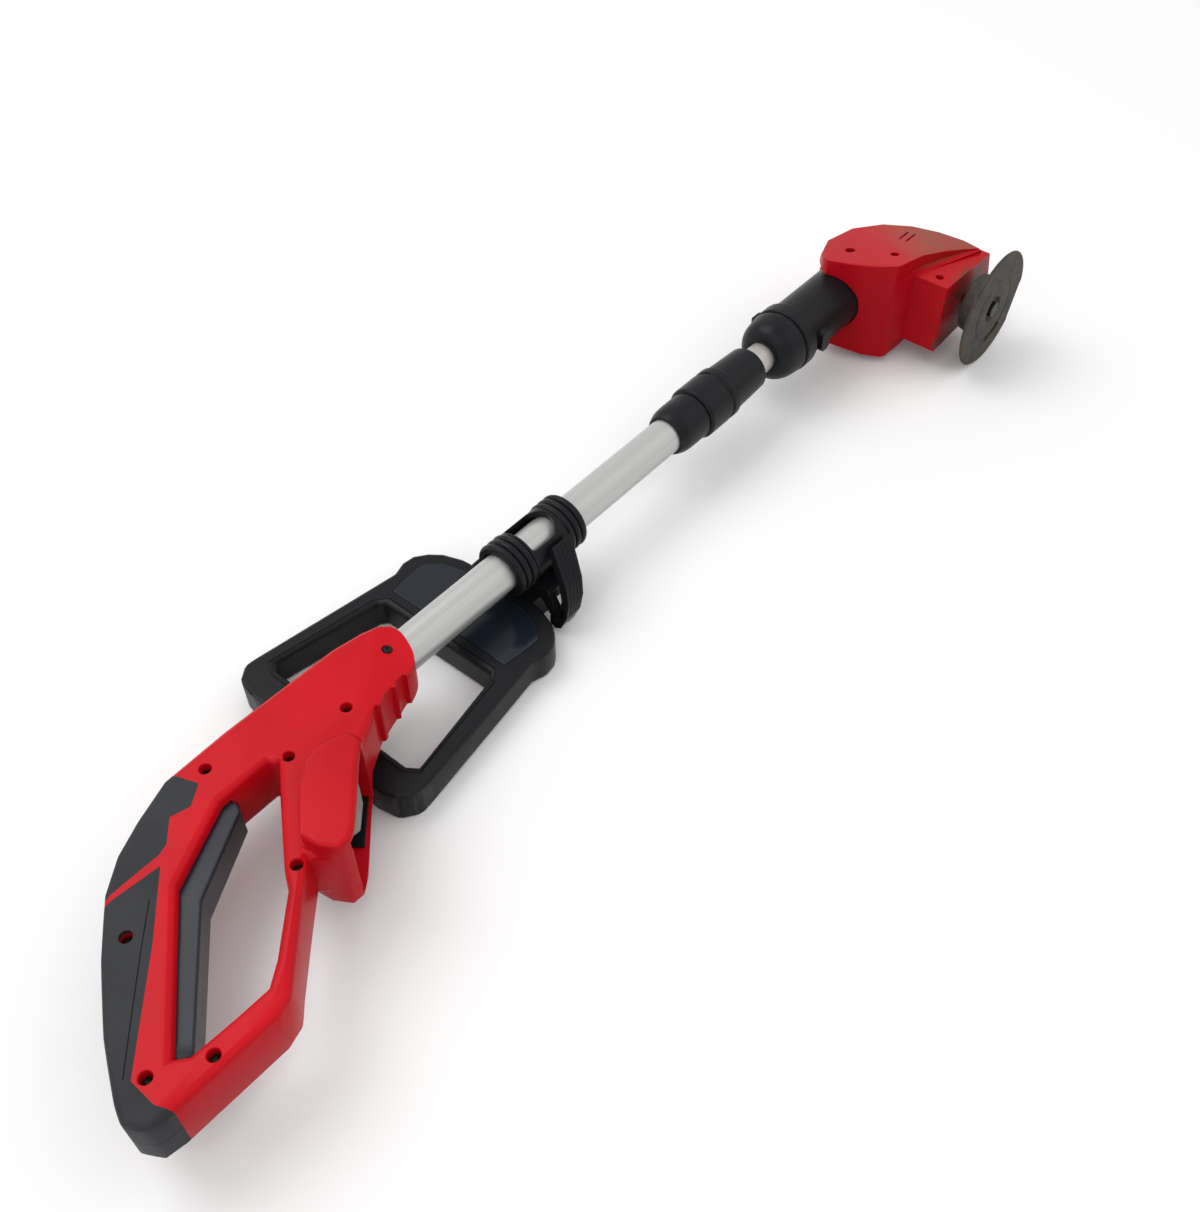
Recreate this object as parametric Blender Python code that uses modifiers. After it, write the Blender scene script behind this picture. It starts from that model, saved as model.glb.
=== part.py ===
"""Cordless string trimmer, lying on its left side with the auxiliary handle folded back.

Metres. X runs forward along the tube, Y points to the tool's top side and Z up, to its right side.
Every shape is written about the tube's axis; the root empty lifts the whole tool onto the floor.
"""
import math

import bmesh
import bpy
from mathutils import Matrix, Vector

# Clearances
SEAM = 0.0003
RUNNING = 0.0003
PARTING = 0.00015

# Tubes
TUBE_RADIUS = 0.0125
TUBE_WALL = 0.0012
TUBE_START = -0.056
TUBE_END = 0.298
INNER_RADIUS = 0.0110
INNER_WALL = 0.0012
INNER_START = 0.080
INNER_END = 0.372
LEAD_RADIUS = 0.0022
LEAD_OFFSET = 0.0050

# Handle shells
SHELL_HALF = 0.018
SHELL_EDGE = 0.004
SHELL_WALL = 0.0026
GRIP_SKIN = 0.0030
CORE_HALF = SHELL_HALF - GRIP_SKIN
CHEEK_FACE = 0.0280
CHEEK_WALL = 0.0040
BOSS_RADIUS = 0.0045
RECESS_RADIUS = 0.0033
SCREW_SHANK = 0.0016
SCREW_HEAD = 0.0029
SCREW_SEAT = 0.0110
SCREW_TIP = -0.0120
COLLAR_SEAT = 0.0145
COLLAR_TIP = -0.0160

# Battery bay: distances along its slope (a) and out of its floor (b), from the bay's corner
BAY_CORNER = (-0.104, -0.036)
BAY_ANGLE = math.radians(42)
BAY_FLOOR = 0.0060
BAY_FRONT = 0.0250
BAY_TOP = -0.0130
BAY_END = 0.0455
TERMINAL_HALF = 0.0150
TERMINAL_START = -0.0040
TERMINAL_END = 0.0170
TERMINAL_FACE = 0.0205
BLADE_LENGTH = 0.0110
RAIL_END = 0.0190
RAIL_WALL = 0.0020
BLADE_THICK = 0.0010
BLADE_SPACING = 0.0080

# Trigger
TRIGGER_HALF = 0.0105
TRIGGER_PIN = (-0.2455, -0.0865)
TRIGGER_PIN_RADIUS = 0.0020
TRIGGER_TRAVEL = 0.055
TRIGGER_CLEARANCE = 0.0007
SPRING_WIRE = 0.0006
SPRING_RADIUS = 0.0030
SPRING_PITCH = 0.0017
SPRING_TURNS = 3
SWITCH_DEPTH = 0.0172
SWITCH_LENGTH = 0.0240
SWITCH_HALF = 0.0075

# Lock-off button
LOCK_SPOT = (-0.1955, 0.0057)
LOCK_ANGLE = math.radians(-64.7)
LOCK_PROUD = 0.0045
LOCK_LENGTH = 0.0120
LOCK_HALF = 0.0045
LOCK_DEPTH = 0.0095
LOCK_FLANGE = 0.0018
LOCK_TRAVEL = 0.0030

# Twist clamp of the telescopic tube
CLAMP_BASE_START = 0.2420
CLAMP_STEP = 0.2710
CLAMP_CORE_END = 0.3000
SLEEVE_END = 0.3400
BASE_LIP_RADIUS = 0.0152
BASE_RADIUS = 0.0172
CORE_RADIUS = 0.0150
SLEEVE_RADIUS = 0.0192
SLEEVE_NOSE_RADIUS = 0.0163
SLEEVE_GROOVE = 0.0250
SLEEVE_GROOVE_DEPTH = 0.0013
COLLET_START = 0.3020
COLLET_END = 0.3220

# Tube clamp of the auxiliary handle
SADDLE_START = 0.0760
SADDLE_END = 0.1385
SADDLE_RADIUS = 0.0178
RIB_RADIUS = 0.0188
RIB_RING_WIDTH = 0.0160
LINER_WALL = 0.0010
SADDLE_WINDOW_START = 0.0935
SADDLE_WINDOW_END = 0.1210
SADDLE_WINDOW_HALF = 0.0128
BLOCK_START = 0.0930
BLOCK_END = 0.1230
BLOCK_BOTTOM = -0.0254

# Auxiliary handle
HANDLE_OFFSET = 0.0110
HANDLE_HALF_WIDTH = 0.0740
HANDLE_TOP = -0.0250
HANDLE_THICK = 0.0210
HANDLE_EDGE = 0.0030
HANDLE_MID = HANDLE_TOP - HANDLE_THICK / 2
HINGE_X = 0.1010
HINGE_PIN_RADIUS = 0.0025
LUG_RADIUS = 0.0095
LUG_LENGTH = 0.0200
LUG_WIDTH = 0.0100
BEAM_REAR = -0.0740
BEAM_FRONT = -0.0510
TONGUE_HALF = 0.0160
PANEL_DEPTH = 0.0020

# Cam lever
LEVER_PIN = (-0.0305, -0.0360)
LEVER_PIN_RADIUS = 0.0018
LEVER_EYE = 0.0050
LEVER_LOW = 0.0895
LEVER_HIGH = 0.1215
LEVER_FORK = 0.0930
FORK_WIDTH = 0.0050
# The lever's leaf, seen along the tube, and its slanted sides, seen from above
LEVER_LEAF = [
    (-0.0190, 0.0125), (-0.0225, 0.0080), (-0.0280, 0.0000), (-0.0345, -0.0100), (-0.0382, -0.0200), (-0.0385, -0.0300),
    (-0.0352, -0.0392), (-0.0310, -0.0410), (-0.0268, -0.0395), (-0.0256, -0.0345), (-0.0320, -0.0270), (-0.0325, -0.0200),
    (-0.0290, -0.0110), (-0.0235, -0.0020), (-0.0195, 0.0045), (-0.0175, 0.0100),
]
LEVER_SIDES = [(LEVER_LOW, -0.0450), (0.1015, -0.0450), (LEVER_HIGH, 0.0150), (0.1040, 0.0150)]

# Cone and neck
CONE_START = 0.3560
CONE_SMALL = 0.0140
CONE_RADIUS = 0.0245
FLANGE_RADIUS = 0.0252
FLANGE_WIDTH = 0.0120
CONE_END = 0.3920
LUG_HALF = 0.0045
LUG_REACH = 0.0050
SOCKET_START = 0.3790
SPIGOT_RADIUS = 0.0160
NECK_RADIUS = 0.0224
NECK_BORE = 0.0080
NECK_BORE_END = 0.4400
CATCH_X = 0.4030
CATCH_HALF = 0.0055
CATCH_HEIGHT = 0.0085
CATCH_PROUD = 0.0035
CATCH_DEPTH = 0.0120

# Motor head
PIVOT_X = 0.4680
PIVOT_PIN_RADIUS = 0.0035
PIVOT_PIN_HALF = 0.0300
HEAD_TILT = math.radians(50)
TILT_CLEARANCE = 0.0008
HEAD_WALL = 0.0026
MOTOR_X = 0.5160
MOTOR_RADIUS = 0.0175
MOTOR_LOW = -0.0560
MOTOR_HIGH = 0.0060
SHAFT_RADIUS = 0.0025
SKIRT_HALF = 0.0280
SKIRT_TOP = -0.0450
SKIRT_BOTTOM = -0.0780
FAN_RADIUS = 0.0160
BEARING_RADIUS = 0.0080
BEARING_WIDTH = 0.0060

# Cutting disc
DISC_RADIUS = 0.0450
DISC_FACE = -0.1015
DISC_THICK = 0.0020
DISC_RIM = 0.0034
HUB_RADIUS = 0.0215
HUB_TOP = -0.0820
NUT_RADIUS = 0.0065

FLOOR = HANDLE_TOP - HANDLE_THICK
SMOOTH_ANGLE = math.radians(30)

# Outline of the handle's rear edge, from the body's top to the heel
BACK = [
    (-0.116, 0.0232), (-0.156, 0.022), (-0.180, 0.013), (-0.199, 0.004), (-0.216, -0.009), (-0.238, -0.036),
    (-0.260, -0.068), (-0.275, -0.096), (-0.279, -0.107), (-0.273, -0.118), (-0.262, -0.120),
]
LOOP_LOW = -0.122
# From the heel along the loop's lower beam, up its front to the bay, and along the body to the collar
FRONT = [
    (-0.204, LOOP_LOW), (-0.193, -0.119), (-0.184, -0.110), (-0.159, -0.0875), (-0.1395, -0.0705),
    (-0.1345, -0.0760), (-0.1290, -0.0838), (-0.1215, -0.0845), (-0.1130, -0.0778), (-0.0870, -0.0525),
    (-0.0705, -0.0385), (-0.0560, -0.0300), (-0.0310, -0.0240), (-0.0200, -0.0210), (-0.0135, -0.0175),
    (-0.0085, -0.0120), (-0.0035, 0.0020), (-0.0050, 0.0095), (-0.0105, 0.0145), (-0.0200, 0.0180),
    (-0.0400, 0.0215), (-0.0780, 0.0225),
]
WINDOW = [
    (-0.145, -0.010), (-0.114, -0.010), (-0.110, -0.014), (-0.151, -0.065), (-0.157, -0.075),
    (-0.185, -0.099), (-0.197, -0.107), (-0.214, -0.1065), (-0.240, -0.105), (-0.246, -0.100),
    (-0.219, -0.067), (-0.190, -0.032),
]
# Hollow of the shells on the window side, from the heel to the body's front
CAVITY_FRONT = [
    (-0.254, -0.1115), (-0.2485, -0.0985), (-0.2215, -0.0655), (-0.1925, -0.0305), (-0.1510, -0.0074),
    (-0.1120, -0.0074), (-0.1020, -0.0200), (-0.0900, -0.0240), (-0.0680, -0.0240), (-0.0640, 0.0100),
]
UPRIGHT_HOLLOW = [
    (-0.1190, -0.0330), (-0.1160, -0.0360), (-0.1440, -0.0680), (-0.1560, -0.0805), (-0.1840, -0.1055),
    (-0.1930, -0.1150), (-0.2030, -0.1180), (-0.2500, -0.1160), (-0.2460, -0.1090), (-0.2140, -0.1105),
    (-0.1980, -0.1110), (-0.1830, -0.1025), (-0.1540, -0.0775), (-0.1480, -0.0665),
]
UPPER_INLAY = [
    (-0.154, 0.030), (-0.1455, 0.006), (-0.157, -0.002), (-0.168, 0.001), (-0.179, -0.0105),
    (-0.185, -0.0125), (-0.2225, -0.0125), (-0.240, 0.010), (-0.200, 0.040),
]
LOWER_INLAY = [
    (-0.2245, -0.0145), (-0.1885, -0.0180), (-0.2170, -0.0490), (-0.2640, -0.0950), (-0.2640, -0.1110),
    (-0.2560, -0.1300), (-0.3000, -0.1300), (-0.3000, -0.0145),
]
CHEEK = [
    (-0.0237, 0.0237), (-0.0160, 0.0077), (-0.0100, -0.0005), (-0.0025, -0.0038), (0.0129, -0.0056),
    (0.0425, -0.0023), (0.0486, 0.0071), (0.0508, 0.0185), (0.0454, 0.0240), (0.0350, BAY_FRONT), (-0.0012, 0.0238),
]
# Slope at the front of each cheek, seen from above, that lets the folded auxiliary handle turn past
CHEEK_SLOPE = [(-0.0800, CHEEK_FACE), (-0.0765, 0.0244), (-0.0718, SHELL_HALF), (0.0, SHELL_HALF)]
TRIGGER_FRONT = [
    (-0.1380, -0.0130), (-0.1405, -0.0185), (-0.1860, -0.0440), (-0.2335, -0.0980), (-0.2385, -0.1035),
]
TRIGGER_BACK = [
    (-0.2470, -0.0985), (-0.2510, -0.0860), (-0.2440, -0.0800), (-0.2225, -0.0645), (-0.1935, -0.0295),
    (-0.1525, -0.0065), (-0.1430, -0.0030),
]
HANDLE_SCREWS = {
    "rear": (-0.1375, 0.0110), "bay": (-0.1045, -0.0165), "front": (-0.0630, -0.0160), "collar": (-0.0190, -0.0020),
    "upright": (-0.1455, -0.0690), "beam": (-0.2335, -0.1135), "heel": (-0.2590, -0.0985), "grip": (-0.2230, -0.0365),
}
HEAD_SCREWS = {"wall": (PIVOT_X + 0.0115, -0.0310), "skirt": (PIVOT_X + 0.0200, -0.0660)}
# Facet on each side of the collar: the crease that it falls away from, its depth and its slope
FACET_CREASE = [(-0.0555, -0.0236), (0.0090, 0.0356)]
FACET_SLOPE = math.radians(15)
FACET_REACH = 0.060
# Three finger hollows under the collar
FINGER_RELIEF = [
    (-0.0240, -0.0400), (-0.0240, -0.0212), (-0.0252, -0.0200), (-0.0290, -0.0208), (-0.0330, -0.0222), (-0.0338, -0.0240),
    (-0.0350, -0.0240), (-0.0362, -0.0226), (-0.0410, -0.0236), (-0.0460, -0.0252), (-0.0478, -0.0275), (-0.0500, -0.0278),
    (-0.0514, -0.0262), (-0.0560, -0.0285), (-0.0580, -0.0330), (-0.0580, -0.0400),
]

# Motor head seen from the tool's right: the near wall and the far side, at three heights
HEAD_NEAR = [(0.4440, 0.0040), (0.4475, -0.0130), (0.4535, -0.0310), (0.4620, -0.0435), (0.4730, -0.0490)]
HEAD_NEAR_RIDGE = [0.0350, 0.0365, 0.0390, 0.0405, 0.0400]
HEAD_FAR_MID = [
    (0.4450, 0.0100), (0.4530, 0.0190), (0.4740, 0.0275), (0.5050, 0.0270), (0.5330, 0.0140), (0.5500, -0.0090),
    (0.5560, -0.0360), (0.5550, -0.0560), (0.5490, -0.0720),
]
HEAD_FAR_TOP = [
    (0.4470, 0.0100), (0.4570, 0.0180), (0.4770, 0.0245), (0.5030, 0.0190), (0.5230, 0.0040), (0.5350, -0.0150),
    (0.5410, -0.0360), (0.5425, -0.0560), (0.5400, -0.0720),
]
HEAD_TOP_HEIGHT = 0.0280
SKIRT_NEAR_X = 0.4775
SKIRT_FAR_X = 0.5440
SKIRT_TIP_X = 0.5520
SKIRT_FAR_HALF = 0.0250
HEAD_SEAT = 0.0180
# Lower edge of the dome where it stands out over the skirt
DOME_EDGE = [
    (0.4600, -0.0440), (0.4650, -0.0450), (0.4930, -0.0482), (0.5120, -0.0550), (0.5285, -0.0630), (0.5430, -0.0720),
    (0.5700, -0.0860),
]
VENT_START = (0.5060, -0.0205)
VENT_END = (0.5230, -0.0190)
VENT_WIDTH = 0.0015
VENT_PITCH = 0.0060

PARTS = "string_trimmer"
CUTTERS = "cutters"
JOINT_SPOTS = {
    "trigger": (TRIGGER_PIN[0], TRIGGER_PIN[1], 0.0),
    "lock_button": (LOCK_SPOT[0], LOCK_SPOT[1], 0.0),
    "clamp_liner": (SADDLE_START, 0.0, 0.0),
    "tube_clamp": (SADDLE_START, 0.0, 0.0),
    "cam_lever": (LEVER_LOW, LEVER_PIN[0], LEVER_PIN[1]),
    "aux_handle": (HINGE_X, HANDLE_OFFSET, HANDLE_MID),
    "twist_sleeve": (CLAMP_STEP, 0.0, 0.0),
    "inner_tube": (INNER_START, 0.0, 0.0),
    "neck": (CONE_END, 0.0, 0.0),
    "catch_button": (CATCH_X, -NECK_RADIUS, 0.0),
    "motor_head": (PIVOT_X, 0.0, 0.0),
    "cutter": (MOTOR_X, DISC_FACE, 0.0),
}
JOINT_PARENTS = {
    "trigger": "tool", "lock_button": "tool", "clamp_liner": "tool", "tube_clamp": "clamp_liner",
    "cam_lever": "tube_clamp", "aux_handle": "tube_clamp", "twist_sleeve": "tool", "inner_tube": "tool",
    "neck": "inner_tube", "catch_button": "neck", "motor_head": "neck", "cutter": "motor_head",
}

# Length of the cutting shapes that pass right through the tool
REACH = 0.5


def clear_scene():
    for thing in list(bpy.data.objects):
        bpy.data.objects.remove(thing)


def new_collection(name):
    collection = bpy.data.collections.new(name)
    bpy.context.scene.collection.children.link(collection)
    return collection


def material(name, colour, roughness, metallic=0.0):
    made = bpy.data.materials.new(name)
    made.use_nodes = True
    shader = made.node_tree.nodes["Principled BSDF"]
    shader.inputs["Base Color"].default_value = (*colour, 1.0)
    shader.inputs["Roughness"].default_value = roughness
    shader.inputs["Metallic"].default_value = metallic
    return made


def new_object(name, mesh):
    made = bpy.data.objects.new(name, mesh)
    bpy.data.collections[CUTTERS].objects.link(made)
    made.parent = bpy.data.objects["tool"]
    made.hide_render = True
    made.display_type = "WIRE"
    return made


def axis_name(body):
    return body if body == "tool" else body + "_axis"


def finish(made, body, finish_material):
    """Turn a shape into a part of the tool that rides on a body."""
    bpy.data.collections[CUTTERS].objects.unlink(made)
    bpy.data.collections[PARTS].objects.link(made)
    made.hide_render = False
    made.display_type = "TEXTURED"
    made.parent = bpy.data.objects[axis_name(body)]
    made.location -= Vector(JOINT_SPOTS.get(body, (0.0, 0.0, 0.0)))
    made.data.materials.clear()
    made.data.materials.append(finish_material)
    made.data.shade_smooth()
    made.data.set_sharp_from_angle(angle=SMOOTH_ANGLE)
    return made


def block(name, low, high):
    mesh = bpy.data.meshes.new(name)
    shape = bmesh.new()
    bmesh.ops.create_cube(shape, size=1.0)
    size = Vector(high) - Vector(low)
    middle = (Vector(high) + Vector(low)) / 2
    bmesh.ops.scale(shape, vec=size, verts=shape.verts)
    shape.to_mesh(mesh)
    shape.free()
    made = new_object(name, mesh)
    made.location = middle
    return made


AXIS_TURNS = {"x": (0.0, math.pi / 2, 0.0), "y": (-math.pi / 2, 0.0, 0.0), "z": (0.0, 0.0, 0.0)}


def rod(name, centre, radius, span, axis, sides=16):
    """A cylinder about a line along the axis through centre, over span along that axis."""
    mesh = bpy.data.meshes.new(name)
    shape = bmesh.new()
    length = span[1] - span[0]
    bmesh.ops.create_cone(
        shape, cap_ends=True, segments=sides, radius1=radius, radius2=radius, depth=length
    )
    shape.to_mesh(mesh)
    shape.free()
    made = new_object(name, mesh)
    made.rotation_euler = AXIS_TURNS[axis]
    place = Vector(centre)
    place["xyz".index(axis)] = (span[0] + span[1]) / 2
    made.location = place
    return made


def turned(name, profile, centre, axis, steps=24, ring=False):
    """A profile of (radius, place along the axis), outer side from the far end to the near one."""
    mesh = bpy.data.meshes.new(name)
    edges = [(i, i + 1) for i in range(len(profile) - 1)]
    if ring:
        edges.append((len(profile) - 1, 0))
    mesh.from_pydata([(radius, 0.0, along) for radius, along in profile], edges, [])
    made = new_object(name, mesh)
    made.rotation_euler = AXIS_TURNS[axis]
    made.location = centre
    screw = made.modifiers.new("turn", "SCREW")
    screw.steps = steps
    screw.render_steps = steps
    screw.use_merge_vertices = True
    screw.merge_threshold = 0.000001
    return made


def pipe(name, inner, outer, span, centre=(0.0, 0.0, 0.0), axis="x", steps=24):
    profile = [(outer, span[1]), (outer, span[0]), (inner, span[0]), (inner, span[1])]
    return turned(name, profile, centre, axis, steps, ring=True)


def slab(name, outlines, low, high, edge=0.0, plane="xy"):
    """A flat outline, with any holes, made thick from low to high with its edges rounded."""
    curve = bpy.data.curves.new(name, "CURVE")
    curve.dimensions = "2D"
    curve.fill_mode = "BOTH"
    curve.extrude = (high - low) / 2 - edge
    curve.bevel_depth = edge
    curve.bevel_resolution = 1
    curve.offset = -edge
    for outline in outlines:
        spline = curve.splines.new("POLY")
        spline.points.add(len(outline) - 1)
        for point, (first, second) in zip(spline.points, outline):
            point.co = (first, second, 0.0, 1.0)
        spline.use_cyclic_u = True
    guide = bpy.data.objects.new(name, curve)
    bpy.context.scene.collection.objects.link(guide)
    depsgraph = bpy.context.evaluated_depsgraph_get()
    mesh = bpy.data.meshes.new_from_object(guide.evaluated_get(depsgraph))
    bpy.data.objects.remove(guide)
    shape = bmesh.new()
    shape.from_mesh(mesh)
    bmesh.ops.remove_doubles(shape, verts=shape.verts, dist=0.000001)
    bmesh.ops.dissolve_degenerate(shape, dist=0.000001, edges=shape.edges)
    bmesh.ops.translate(shape, vec=(0.0, 0.0, (low + high) / 2), verts=shape.verts)
    if plane == "yz":
        turn = Matrix(((0, 0, 1), (1, 0, 0), (0, 1, 0)))
        bmesh.ops.transform(shape, matrix=turn.to_4x4(), verts=shape.verts)
    if plane == "xz":
        turn = Matrix(((1, 0, 0), (0, 0, -1), (0, 1, 0)))
        bmesh.ops.transform(shape, matrix=turn.to_4x4(), verts=shape.verts)
    bmesh.ops.recalc_face_normals(shape, faces=shape.faces)
    shape.to_mesh(mesh)
    shape.free()
    return new_object(name, mesh)


def hull(name, points):
    mesh = bpy.data.meshes.new(name)
    shape = bmesh.new()
    for point in points:
        shape.verts.new(point)
    found = bmesh.ops.convex_hull(shape, input=shape.verts)
    spare = [item for item in found["geom_interior"] + found["geom_unused"] if isinstance(item, bmesh.types.BMVert)]
    bmesh.ops.delete(shape, geom=list(set(spare)), context="VERTS")
    bmesh.ops.recalc_face_normals(shape, faces=shape.faces)
    shape.to_mesh(mesh)
    shape.free()
    return new_object(name, mesh)


def wire(name, points, radius, resolution=2):
    curve = bpy.data.curves.new(name, "CURVE")
    curve.dimensions = "3D"
    curve.bevel_depth = radius
    curve.bevel_resolution = resolution
    curve.use_fill_caps = True
    spline = curve.splines.new("POLY")
    spline.points.add(len(points) - 1)
    for point, place in zip(spline.points, points):
        point.co = (*place, 1.0)
    guide = bpy.data.objects.new(name, curve)
    bpy.context.scene.collection.objects.link(guide)
    depsgraph = bpy.context.evaluated_depsgraph_get()
    mesh = bpy.data.meshes.new_from_object(guide.evaluated_get(depsgraph))
    bpy.data.objects.remove(guide)
    shape = bmesh.new()
    shape.from_mesh(mesh)
    bmesh.ops.remove_doubles(shape, verts=shape.verts, dist=0.000001)
    bmesh.ops.recalc_face_normals(shape, faces=shape.faces)
    shape.to_mesh(mesh)
    shape.free()
    return new_object(name, mesh)


def combine(made, tool, operation):
    modifier = made.modifiers.new(tool.name, "BOOLEAN")
    modifier.operation = operation
    modifier.object = tool
    modifier.solver = "EXACT"


def cut(made, *tools):
    for tool in tools:
        combine(made, tool, "DIFFERENCE")


def join(made, *tools):
    for tool in tools:
        combine(made, tool, "UNION")


def keep(made, tool):
    combine(made, tool, "INTERSECT")


def offset_path(points, distance):
    """An open path moved sideways, to the left of its direction where distance is positive."""
    moved = []
    for i, point in enumerate(points):
        here = Vector(point)
        before = Vector(points[i - 1]) if i else None
        after = Vector(points[i + 1]) if i + 1 < len(points) else None
        ways = []
        if before is not None:
            ways.append((here - before).normalized())
        if after is not None:
            ways.append((after - here).normalized())
        sides = [Vector((-way.y, way.x)) for way in ways]
        side = sum(sides, Vector((0.0, 0.0))).normalized()
        moved.append(tuple(here + side * (distance / side.dot(sides[0]))))
    return moved


def turn_point(point, centre, angle):
    arm = Vector(point) - Vector(centre)
    return tuple(Vector(centre) + Matrix.Rotation(angle, 2) @ arm)


def arc(centre, radius, start, end, count):
    """Points along a circle from the start angle to the end angle, both in degrees."""
    points = []
    for i in range(count + 1):
        angle = math.radians(start + (end - start) * i / count)
        points.append((centre[0] + radius * math.cos(angle), centre[1] + radius * math.sin(angle)))
    return points


def bay(along, out):
    """A place in the battery bay, from its slope and its height off the bay's floor line."""
    down = Vector((-math.cos(BAY_ANGLE), -math.sin(BAY_ANGLE)))
    away = Vector((math.sin(BAY_ANGLE), -math.cos(BAY_ANGLE)))
    return tuple(Vector(BAY_CORNER) + down * along + away * out)


def lock_frame(across, inward):
    """A place at the lock-off button, across it and inward from the grip's surface."""
    way = Vector((math.cos(LOCK_ANGLE), math.sin(LOCK_ANGLE)))
    side = Vector((-way.y, way.x))
    return tuple(Vector(LOCK_SPOT) + side * across + way * inward)


def half_space(side):
    """Everything on the other side of the parting plane."""
    low = min(PARTING * side, -REACH * side)
    high = max(PARTING * side, -REACH * side)
    return block("half_space", (-REACH, -REACH, low), (2 * REACH, REACH, high))


def span(side, near, far):
    return (min(side * near, side * far), max(side * near, side * far))


def handle_body(name):
    return slab(name, [BACK + FRONT, WINDOW], -SHELL_HALF, SHELL_HALF, SHELL_EDGE)


def grip_core(name, gap):
    """The red core of the grip under the soft inlays."""
    skin = GRIP_SKIN + gap
    outline = offset_path(BACK, skin) + [(-0.240, -0.098), (-0.190, -0.030), (-0.120, 0.0)]
    return slab(name, [outline], -CORE_HALF + gap, CORE_HALF - gap, SHELL_EDGE / 2)


def lock_slot():
    """The button's way through the shells, wider inside for its flange."""
    reach = LOCK_LENGTH / 2 + RUNNING
    wide = reach + LOCK_FLANGE
    step = GRIP_SKIN + SHELL_WALL
    deep = LOCK_DEPTH + LOCK_TRAVEL + RUNNING
    outline = [
        (-reach, -0.010), (reach, -0.010), (reach, step), (wide, step), (wide, deep), (-wide, deep), (-wide, step),
        (-reach, step),
    ]
    return slab("lock_slot", [[lock_frame(*point) for point in outline]], -LOCK_HALF - RUNNING, LOCK_HALF + RUNNING)


def trigger_slot():
    front = offset_path(TRIGGER_FRONT, TRIGGER_CLEARANCE)
    squeezed = [turn_point(point, TRIGGER_PIN, TRIGGER_TRAVEL) for point in TRIGGER_BACK]
    back = offset_path(squeezed, TRIGGER_CLEARANCE)
    rest = Vector(TRIGGER_BACK[-1]) + Vector((TRIGGER_CLEARANCE, TRIGGER_CLEARANCE))
    half = TRIGGER_HALF + RUNNING
    return slab("trigger_slot", [front + back + [tuple(rest)]], -half, half)


def inlay_recess(name, region):
    """What a soft inlay takes out of the shells: its region, less the grip's core."""
    grown = slab(name, [region], -REACH, REACH)
    cut(grown, grip_core(name + "_core", SEAM))
    return grown


def screw_depths(key):
    """Seat and tip of a handle screw: the collar's passes through the tube."""
    if key == "collar":
        return COLLAR_SEAT, COLLAR_TIP
    return SCREW_SEAT, SCREW_TIP


def handle_shell(side, name, red, tools):
    shell = handle_body(name)
    cheek = slab(name + "_cheek", [[bay(*point) for point in CHEEK]], *span(side, SHELL_HALF - 0.006, CHEEK_FACE), 0.003)
    slope = [(x, side * z) for x, z in CHEEK_SLOPE + [(0.0, 2 * CHEEK_FACE), (CHEEK_SLOPE[0][0], 2 * CHEEK_FACE)]]
    cut(cheek, slab(name + "_cheek_slope", [slope], -REACH, REACH, plane="xz"))
    join(shell, cheek)
    cavity_outline = offset_path(BACK, GRIP_SKIN + SHELL_WALL) + CAVITY_FRONT
    inner = span(side, -PARTING, CORE_HALF - SHELL_WALL)
    cavity = slab(name + "_cavity", [cavity_outline], *inner)
    upright = slab(name + "_upright_hollow", [UPRIGHT_HOLLOW], *inner)
    for key, spot in HANDLE_SCREWS.items():
        boss = rod(f"{name}_boss_{key}", (*spot, 0.0), BOSS_RADIUS, (-SHELL_HALF, SHELL_HALF), "z", 12)
        cut(cavity, boss)
        cut(upright, boss)
    cut(shell, cavity, upright)
    cut(shell, *tools["shared"])
    cut(shell, tools["half"][side])
    for key, spot in HANDLE_SCREWS.items():
        seat, tip = screw_depths(key)
        cut(shell, rod(f"{name}_bore_{key}", (*spot, 0.0), SCREW_SHANK + SEAM, (tip - 0.001, REACH), "z", 12))
        if side > 0:
            cut(shell, rod(f"{name}_recess_{key}", (*spot, 0.0), RECESS_RADIUS, (seat, REACH), "z", 12))
    return finish(shell, "tool", red)


def grip_inlays(side, soft, tools):
    for key, region, skip in (("upper", UPPER_INLAY, ()), ("lower", LOWER_INLAY, ("grip",))):
        name = f"grip_inlay_{key}_{'right' if side > 0 else 'left'}"
        inlay = handle_body(name)
        keep(inlay, slab(name + "_region", [region], -REACH, REACH))
        cut(inlay, grip_core(name + "_core", 0.0), tools["half"][side], tools["lock_slot"])
        for spot in skip if side > 0 else ():
            cut(inlay, rod(name + "_hole", (*HANDLE_SCREWS[spot], 0.0), RECESS_RADIUS + SEAM, (-REACH, REACH), "z", 12))
        finish(inlay, "tool", soft)


def screw(name, spot, seat, tip, body, steel):
    """A pan head screw that stands in its recess, with its tip towards the floor."""
    head = 0.0022
    profile = [
        (0.0, seat + head), (SCREW_HEAD * 0.7, seat + head), (SCREW_HEAD, seat + head / 2),
        (SCREW_HEAD, seat + SEAM), (SCREW_SHANK, seat + SEAM), (SCREW_SHANK, tip + 0.001), (0.0, tip),
    ]
    finish(turned(name, profile, (*spot, 0.0), "z", 12), body, steel)


def collar_facet(key, side):
    """The wedge taken off one side of the collar, from its crease down towards the tube's lower side."""
    start, end = (Vector(point) for point in FACET_CREASE)
    way = (end - start).normalized()
    across = Vector((way.y, -way.x)) * FACET_REACH
    fall = FACET_REACH * math.tan(FACET_SLOPE)
    points = []
    for spot in (start, end):
        for place, height in ((spot, SHELL_HALF), (spot + across, SHELL_HALF - fall)):
            points += [(*place, side * height), (*place, side * 2 * SHELL_HALF)]
    return hull(f"collar_facet_{key}", points)


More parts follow.
